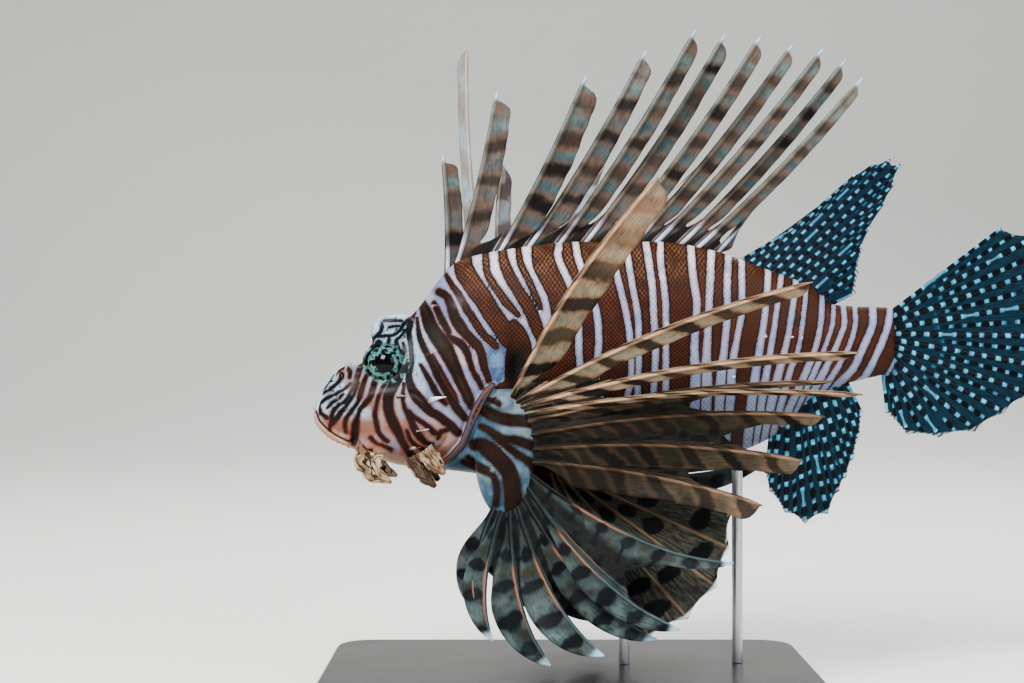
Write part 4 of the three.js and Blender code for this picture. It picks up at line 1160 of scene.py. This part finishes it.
# Pectoral fins: fifteen long rays on each side, the upper ones banners and the lower ones feathers
# with hooked tips and webs between their lower halves
ray_turns = [5, 18, 30, 42, 54, 70, 86, 99, 110, 126, 142, 159, 176, 193, 210]
pectorals = {
    "left": {
        "side": -1,
        "lengths": [115, 130, 136, 134, 123, 118, 109, 94, 89, 84, 78, 70, 65, 54, 46],
        "angles": [57, 23, 10, 4, 8, 4, -2, -10, -23, -42, -46, -59, -75, -94, -99],
        "swings": [29, 22, 17, 13, 7, 5, 4, 8, 13, 16, 11, 16, 12, 7, 4],
        "widths": [10, 4.6, 2.4, 2.2, 3.4, 4, 7, 8, 5, 8, 8.5, 11, 10.5, 8, 7],
        "leans": [0] * 15,
    },
    "right": {
        "side": 1,
        "lengths": [160, 130, 141, 172, 133, 137, 123, 118, 113, 97, 85, 78, 72, 61, 41],
        "angles": [97, 93, 72, 52, 31, 24, 17, 9, 1, -9, -23, -43, -52, -66, -83],
        "swings": [12, 33, 31, 24, 26, 22, 19, 17, 15, 14, 15, 15, 14, 12, 7],
        "widths": [5.4, 9, 7, 5, 5, 5, 5, 5, 7, 8, 10, 10, 9, 8, 6],
        "leans": [66] + [0] * 14,
    },
}


def feather(width):
    """Membrane that swells beyond the web and narrows to a curved point"""
    def strip(t):
        narrow = np.clip((t - 0.6) / 0.4, 0, 1)
        return 0.2 + width * smoothstep(t, 0.1, 0.6) * (1 - narrow**2.2)
    return strip


def pectoral(name, spec, first, last, webs):
    rays = []
    for index in range(first, last + 1):
        turn = math.radians(ray_turns[index])
        root = (80 + 8.5 * math.sin(turn), spec["side"] * 21, pad_centre[2] + 21 * math.cos(turn))
        length = spec["lengths"][index]
        low = index > 7
        ray = Ray(root, length, spec["angles"][index], spec["side"] * spec["swings"][index],
                  length * (-0.05 if low else 0.035), hook=5.0 if low else 0.0, rib=0.5 if low else 0.7)
        ray.front = lambda t: 0.12 + 0.5 * smoothstep(t, 0.2, 0.5) * (1 - np.clip(t, 0, 1) ** 4)
        width = spec["widths"][index]
        ray.strip = feather(width) if low else banner(width, 0.04, 0.985, ragged=0.05)
        ray.lean = math.radians(spec["leans"][index])
        rays.append(ray)
    return fin(name, rays, 44, webs, vane, sag=0.14, wave=0.8)


# near black for the painted shade inside the fan, and the membrane's own dark olive
olive_in_shade_tones = (rgb(17, 17, 13), rgb(56, 50, 37))
upper_finish = banded_finish(
    "pectoral_banners", light=rgb(122, 120, 102), warm=rgb(140, 120, 98), end_tone=rgb(170, 140, 120),
    fringe=rgb(128, 92, 66), dark=rgb(10, 8, 6), web_tone=rgb(26, 27, 22), rib_tone=rgb(200, 160, 130),
    foot=rgb(44, 42, 36), period=17, slant=-0.42, tip_glow=0.0, olive_in_shade=olive_in_shade_tones, contrast=0.3, fade=0.8)
far_finish = banded_finish(
    "pectoral_banners_far", light=rgb(138, 160, 172), warm=rgb(138, 146, 152), end_tone=rgb(138, 120, 112),
    fringe=rgb(134, 108, 92), dark=rgb(62, 52, 52), web_tone=rgb(26, 27, 22), rib_tone=rgb(176, 160, 144),
    foot=rgb(104, 70, 48), period=26, slant=-0.3, tip_glow=0.0, olive_in_shade=olive_in_shade_tones, contrast=0.7, fade=0.9)
lower_finish = banded_finish(
    "pectoral_webs", light=rgb(56, 68, 66), warm=rgb(46, 46, 38), end_tone=rgb(98, 116, 118),
    fringe=rgb(44, 54, 60), dark=rgb(3, 6, 12), web_tone=rgb(14, 15, 13), rib_tone=rgb(138, 92, 68),
    foot=rgb(22, 19, 16), period=12.5, slant=0.05, tip_glow=0.85, blue_edge=0.7, oval=0.7, contrast=0.25,
    rib_start=(20, 27), rib_end=(38, 52))
for name, spec in pectorals.items():
    banners = pectoral(f"pectoral_banners_{name}", spec, 0, 7, [0.14, 0.3, 0.26, 0.35, 0.6, 0.78, 0.72])
    dress(banners, upper_finish if name == "left" else far_finish, "banded_fin", f"pectoral_upper_{name}")
    feathers = pectoral(f"pectoral_webs_{name}", spec, 8, 14, [0.72, 0.6, 0.52, 0.5, 0.45, 0.4])
    dress(feathers, lower_finish, "dark_fin", f"pectoral_lower_{name}")


# Flaps and spikes of the head: ragged leaves of mottled skin that hang from the jaw, small soft
# tentacles, and the pale thorns of the cheek
def flap(name, spine, widths, side, curl, tone):
    """A leaf of skin along a line, with a ragged edge; its tone is 0 for pale and 1 for dark"""
    line = np.array(spine, dtype=float) * (1, side, 1)
    knots = np.linspace(0, 1, len(line))
    t = np.linspace(0, 1, 26)
    path = np.stack([np.interp(t, knots, line[:, axis]) for axis in range(3)], axis=1)
    path[1:-1] = (path[:-2] + path[1:-1] * 2 + path[2:]) / 4
    width = np.interp(t, knots, widths)
    along = unit(np.gradient(path, axis=0))
    across = unit(np.cross(along, (0, side, 0.0)))
    out = np.cross(across, along)
    sheets, count = [], 11
    for column in range(count):
        u = 2 * column / (count - 1) - 1
        ragged = 1 + (0.06 * np.sin(23 * t + 5 * u) + 0.04 * np.sin(41 * t + 2)) * abs(u) ** 3
        middle = path + across * (u * width / 2 * ragged)[:, None]
        middle = middle + out * (curl * (u * u - 0.3) + 0.35 * np.sin(9 * t + 4 * u))[:, None]
        thick = 0.5 * (1 - 0.65 * abs(u) ** 2) * (1 - 0.5 * t)
        sheets.append((middle, -out, thick, t * 20, u + 0 * t, tone + 0 * t, abs(u) + 0 * t))
    return stitched(name, sheets, [np.ones(25, dtype=bool)] * (count - 1))


def mottled_finish():
    finish = Finish(
        "mottled_flap", Roughness=0.4, Coat_Weight=0.1, Coat_Roughness=0.3, Specular_IOR_Level=0.2)
    across, along = finish.attribute("across"), finish.attribute("along")
    wave = (abs(across) * 2.1 + along * 0.05 + finish.noise(190, 2) * 3.4).math("FRACT")
    vein = abs(wave - 0.5).ramp(0.15, 0.08)
    blot = finish.noise(300, 2, finish.place()).ramp(0.58, 0.62)
    lines = vein.math("MAXIMUM", blot)
    rim = finish.attribute("beside").ramp(0.7, 0.95)
    base = finish.mix(finish.noise(240, 3).ramp(0.4, 0.6), rgb(164, 146, 120), rgb(108, 84, 62))
    base = finish.mix(finish.attribute("ray") * (1 - rim) * 0.85, base, rgb(52, 32, 22))
    colour = finish.mix(lines * (1 - rim * 0.7) * 0.95, base, rgb(18, 11, 9))
    finish.paint(colour, height=lines, depth=-0.0002)
    return finish


flap_finish = mottled_finish()
thorn_finish = Finish("thorn", Roughness=0.4, Coat_Weight=0.15, Specular_IOR_Level=0.3)
thorn_patches = thorn_finish.noise(500, 2).ramp(0.42, 0.58)
thorn_skin = thorn_finish.mix(thorn_patches, rgb(150, 128, 124), rgb(60, 34, 26))
thorn_finish.paint(thorn_finish.mix(thorn_finish.attribute("bare"), thorn_skin, rgb(226, 226, 226)))

# Each thorn's length along the fish, angle from the top, length, thickness and rise
thorn_rows = [
    (48.5, 97, 7, 1.2, 0.9), (44, 116, 4.5, 1.0, 0.3), (41, 133, 4, 0.9, 0.2), (36, 84, 3.5, 0.9, 0.2),
    (48, 70, 4, 0.9, 0.3), (38, 33, 4, 1.0, 0.3), (50, 40, 4, 0.9, 0.3)]
for side, word in ((-1, "left"), (1, "right")):
    flaps = [
        flap("jaw_flap", [(25, 13.2, -17), (23.4, 15.2, -23), (26, 16.4, -28.4), (33.2, 16.6, -31.8)],
             (12.5, 11.5, 7.5, 1.4), side, 0.9, 0.0),
        flap("cheek_flap", [(41, 14, -21.5), (44.5, 15.8, -26.5), (47.5, 16.6, -30.4), (51, 17, -33.6)],
             (7, 7, 5.6, 1.6), side, -0.7, 1.0),
        flap("rear_flap", [(46.5, 17.6, -18.5), (50, 18.6, -23), (53, 18.8, -26.4), (54.6, 18.8, -28.4)],
             (7, 7.6, 5, 1.6), side, 0.7, 0.2),
    ]
    dress(merged(f"face_flaps_{word}", flaps), flap_finish, "skin")
    thorns = []
    for x, angle, length, radius, rise in thorn_rows:
        root = on_flesh(x, side * angle)
        lift = root * (0, 1, 0) / abs(root[1])
        knee = root + lift * 0.9 + (length * 0.45, 0, rise)
        tip = root + lift * 1.3 + (length, 0, rise * 1.6)
        path = np.array([root - (0.5, 0, 0), knee, tip]) - lift * 0.3
        thorns.append(tube("thorn", path, (radius, radius * 0.6, 0.12), 8))
    steps = [(0, 0, -0.6), (0.2, side * 0.6, 2), (0.7, side * 0.8, 4.2), (0.5, side * 1.2, 5.8)]
    thorns.append(tube("tentacle", on_flesh(13.6, side * 38) + steps, (1.0, 0.8, 0.6, 0.2), 8))
    thorns = merged(f"face_thorns_{word}", thorns)
    ends = read_points(thorns)
    give(thorns, "bare", (ends[:, 0] > 48) & (ends[:, 2] < 8))
    dress(thorns, thorn_finish, "skin")

# Stand: a lacquered base and two brushed steel rods, kept as the solids have them
base_finish = Finish("stand_lacquer", Roughness=0.3, Coat_Weight=0.4, Coat_Roughness=0.12)
lacquer = base_finish.noise(30, 4)
base_finish.paint(base_finish.mix(lacquer, rgb(24, 23, 24), rgb(34, 33, 34)), roughness=0.28 + lacquer * 0.14,
                  height=base_finish.noise(900, 2), depth=0.00003)
rod_finish = Finish("stand_steel", Metallic=1.0, Roughness=0.3)
brushed = rod_finish.noise(1.0, 3, rod_finish.node("ShaderNodeMapping", {}, {
    "Vector": rod_finish.place(), "Scale": (900, 900, 14000)}))
rod_steel = rod_finish.mix(brushed, rgb(176, 178, 182), rgb(206, 208, 210))
rod_finish.paint(rod_steel, roughness=0.22 + brushed * 0.2, height=brushed, depth=0.00002)
stand_finishes = {"stand_base": base_finish, "stand_rod_front": rod_finish, "stand_rod_rear": rod_finish}
for node, finish in stand_finishes.items():
    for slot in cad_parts[node].material_slots:
        slot.material = finish.material

# Studio: a pale sweep that rises behind the model, and soft light from above and in front
bpy.ops.object.select_all(action="DESELECT")
bpy.ops.mesh.primitive_plane_add(size=1, location=(0, 0, 0))
floor = bpy.context.object
floor.name = "studio_floor"
sweep = [(-2.2, 0), (1.0, 0), (1.35, 0.03), (1.65, 0.14), (1.85, 0.34), (1.95, 0.62), (1.98, 1.0), (2.0, 3.2)]
outline = [(x, y, z) for x in (-4.0, 4.0) for y, z in sweep]
floor.data.clear_geometry()
floor.data.from_pydata(outline, [], [[i, i + 1, i + 9, i + 8][::-1] for i in range(7)])
shade_smooth(floor)
finished(floor, "SUBSURF", levels=3, render_levels=3)
floor_finish = Finish("pale_floor", Roughness=0.85)
floor_finish.paint(rgb(214, 214, 212))
floor.data.materials.append(floor_finish.material)

world = bpy.data.worlds.new("studio")
bpy.context.scene.world = world
world.use_nodes = True
world.node_tree.nodes["Background"].inputs["Color"].default_value = (0.95, 0.97, 1.0, 1)
world.node_tree.nodes["Background"].inputs["Strength"].default_value = 0.45
lamps = [
    ((-0.55, -0.8, 1.1), 0.6, 34, (1.0, 0.97, 0.93)),
    ((0.9, -0.7, 0.7), 0.8, 8, (0.92, 0.96, 1.0)),
    ((0.3, 0.7, 1.2), 0.7, 18, (1.0, 1.0, 1.0)),
]
for place, size, watts, tone in lamps:
    bpy.ops.object.light_add(type="AREA", location=place)
    lamp = bpy.context.object
    lamp.data.size = size
    lamp.data.energy = watts
    lamp.data.color = tone
    aim = Vector((0, 0, 0.13)) - Vector(place)
    lamp.rotation_euler = aim.to_track_quat("-Z", "Y").to_euler()

bpy.context.scene.view_settings.look = "AgX - Medium High Contrast"
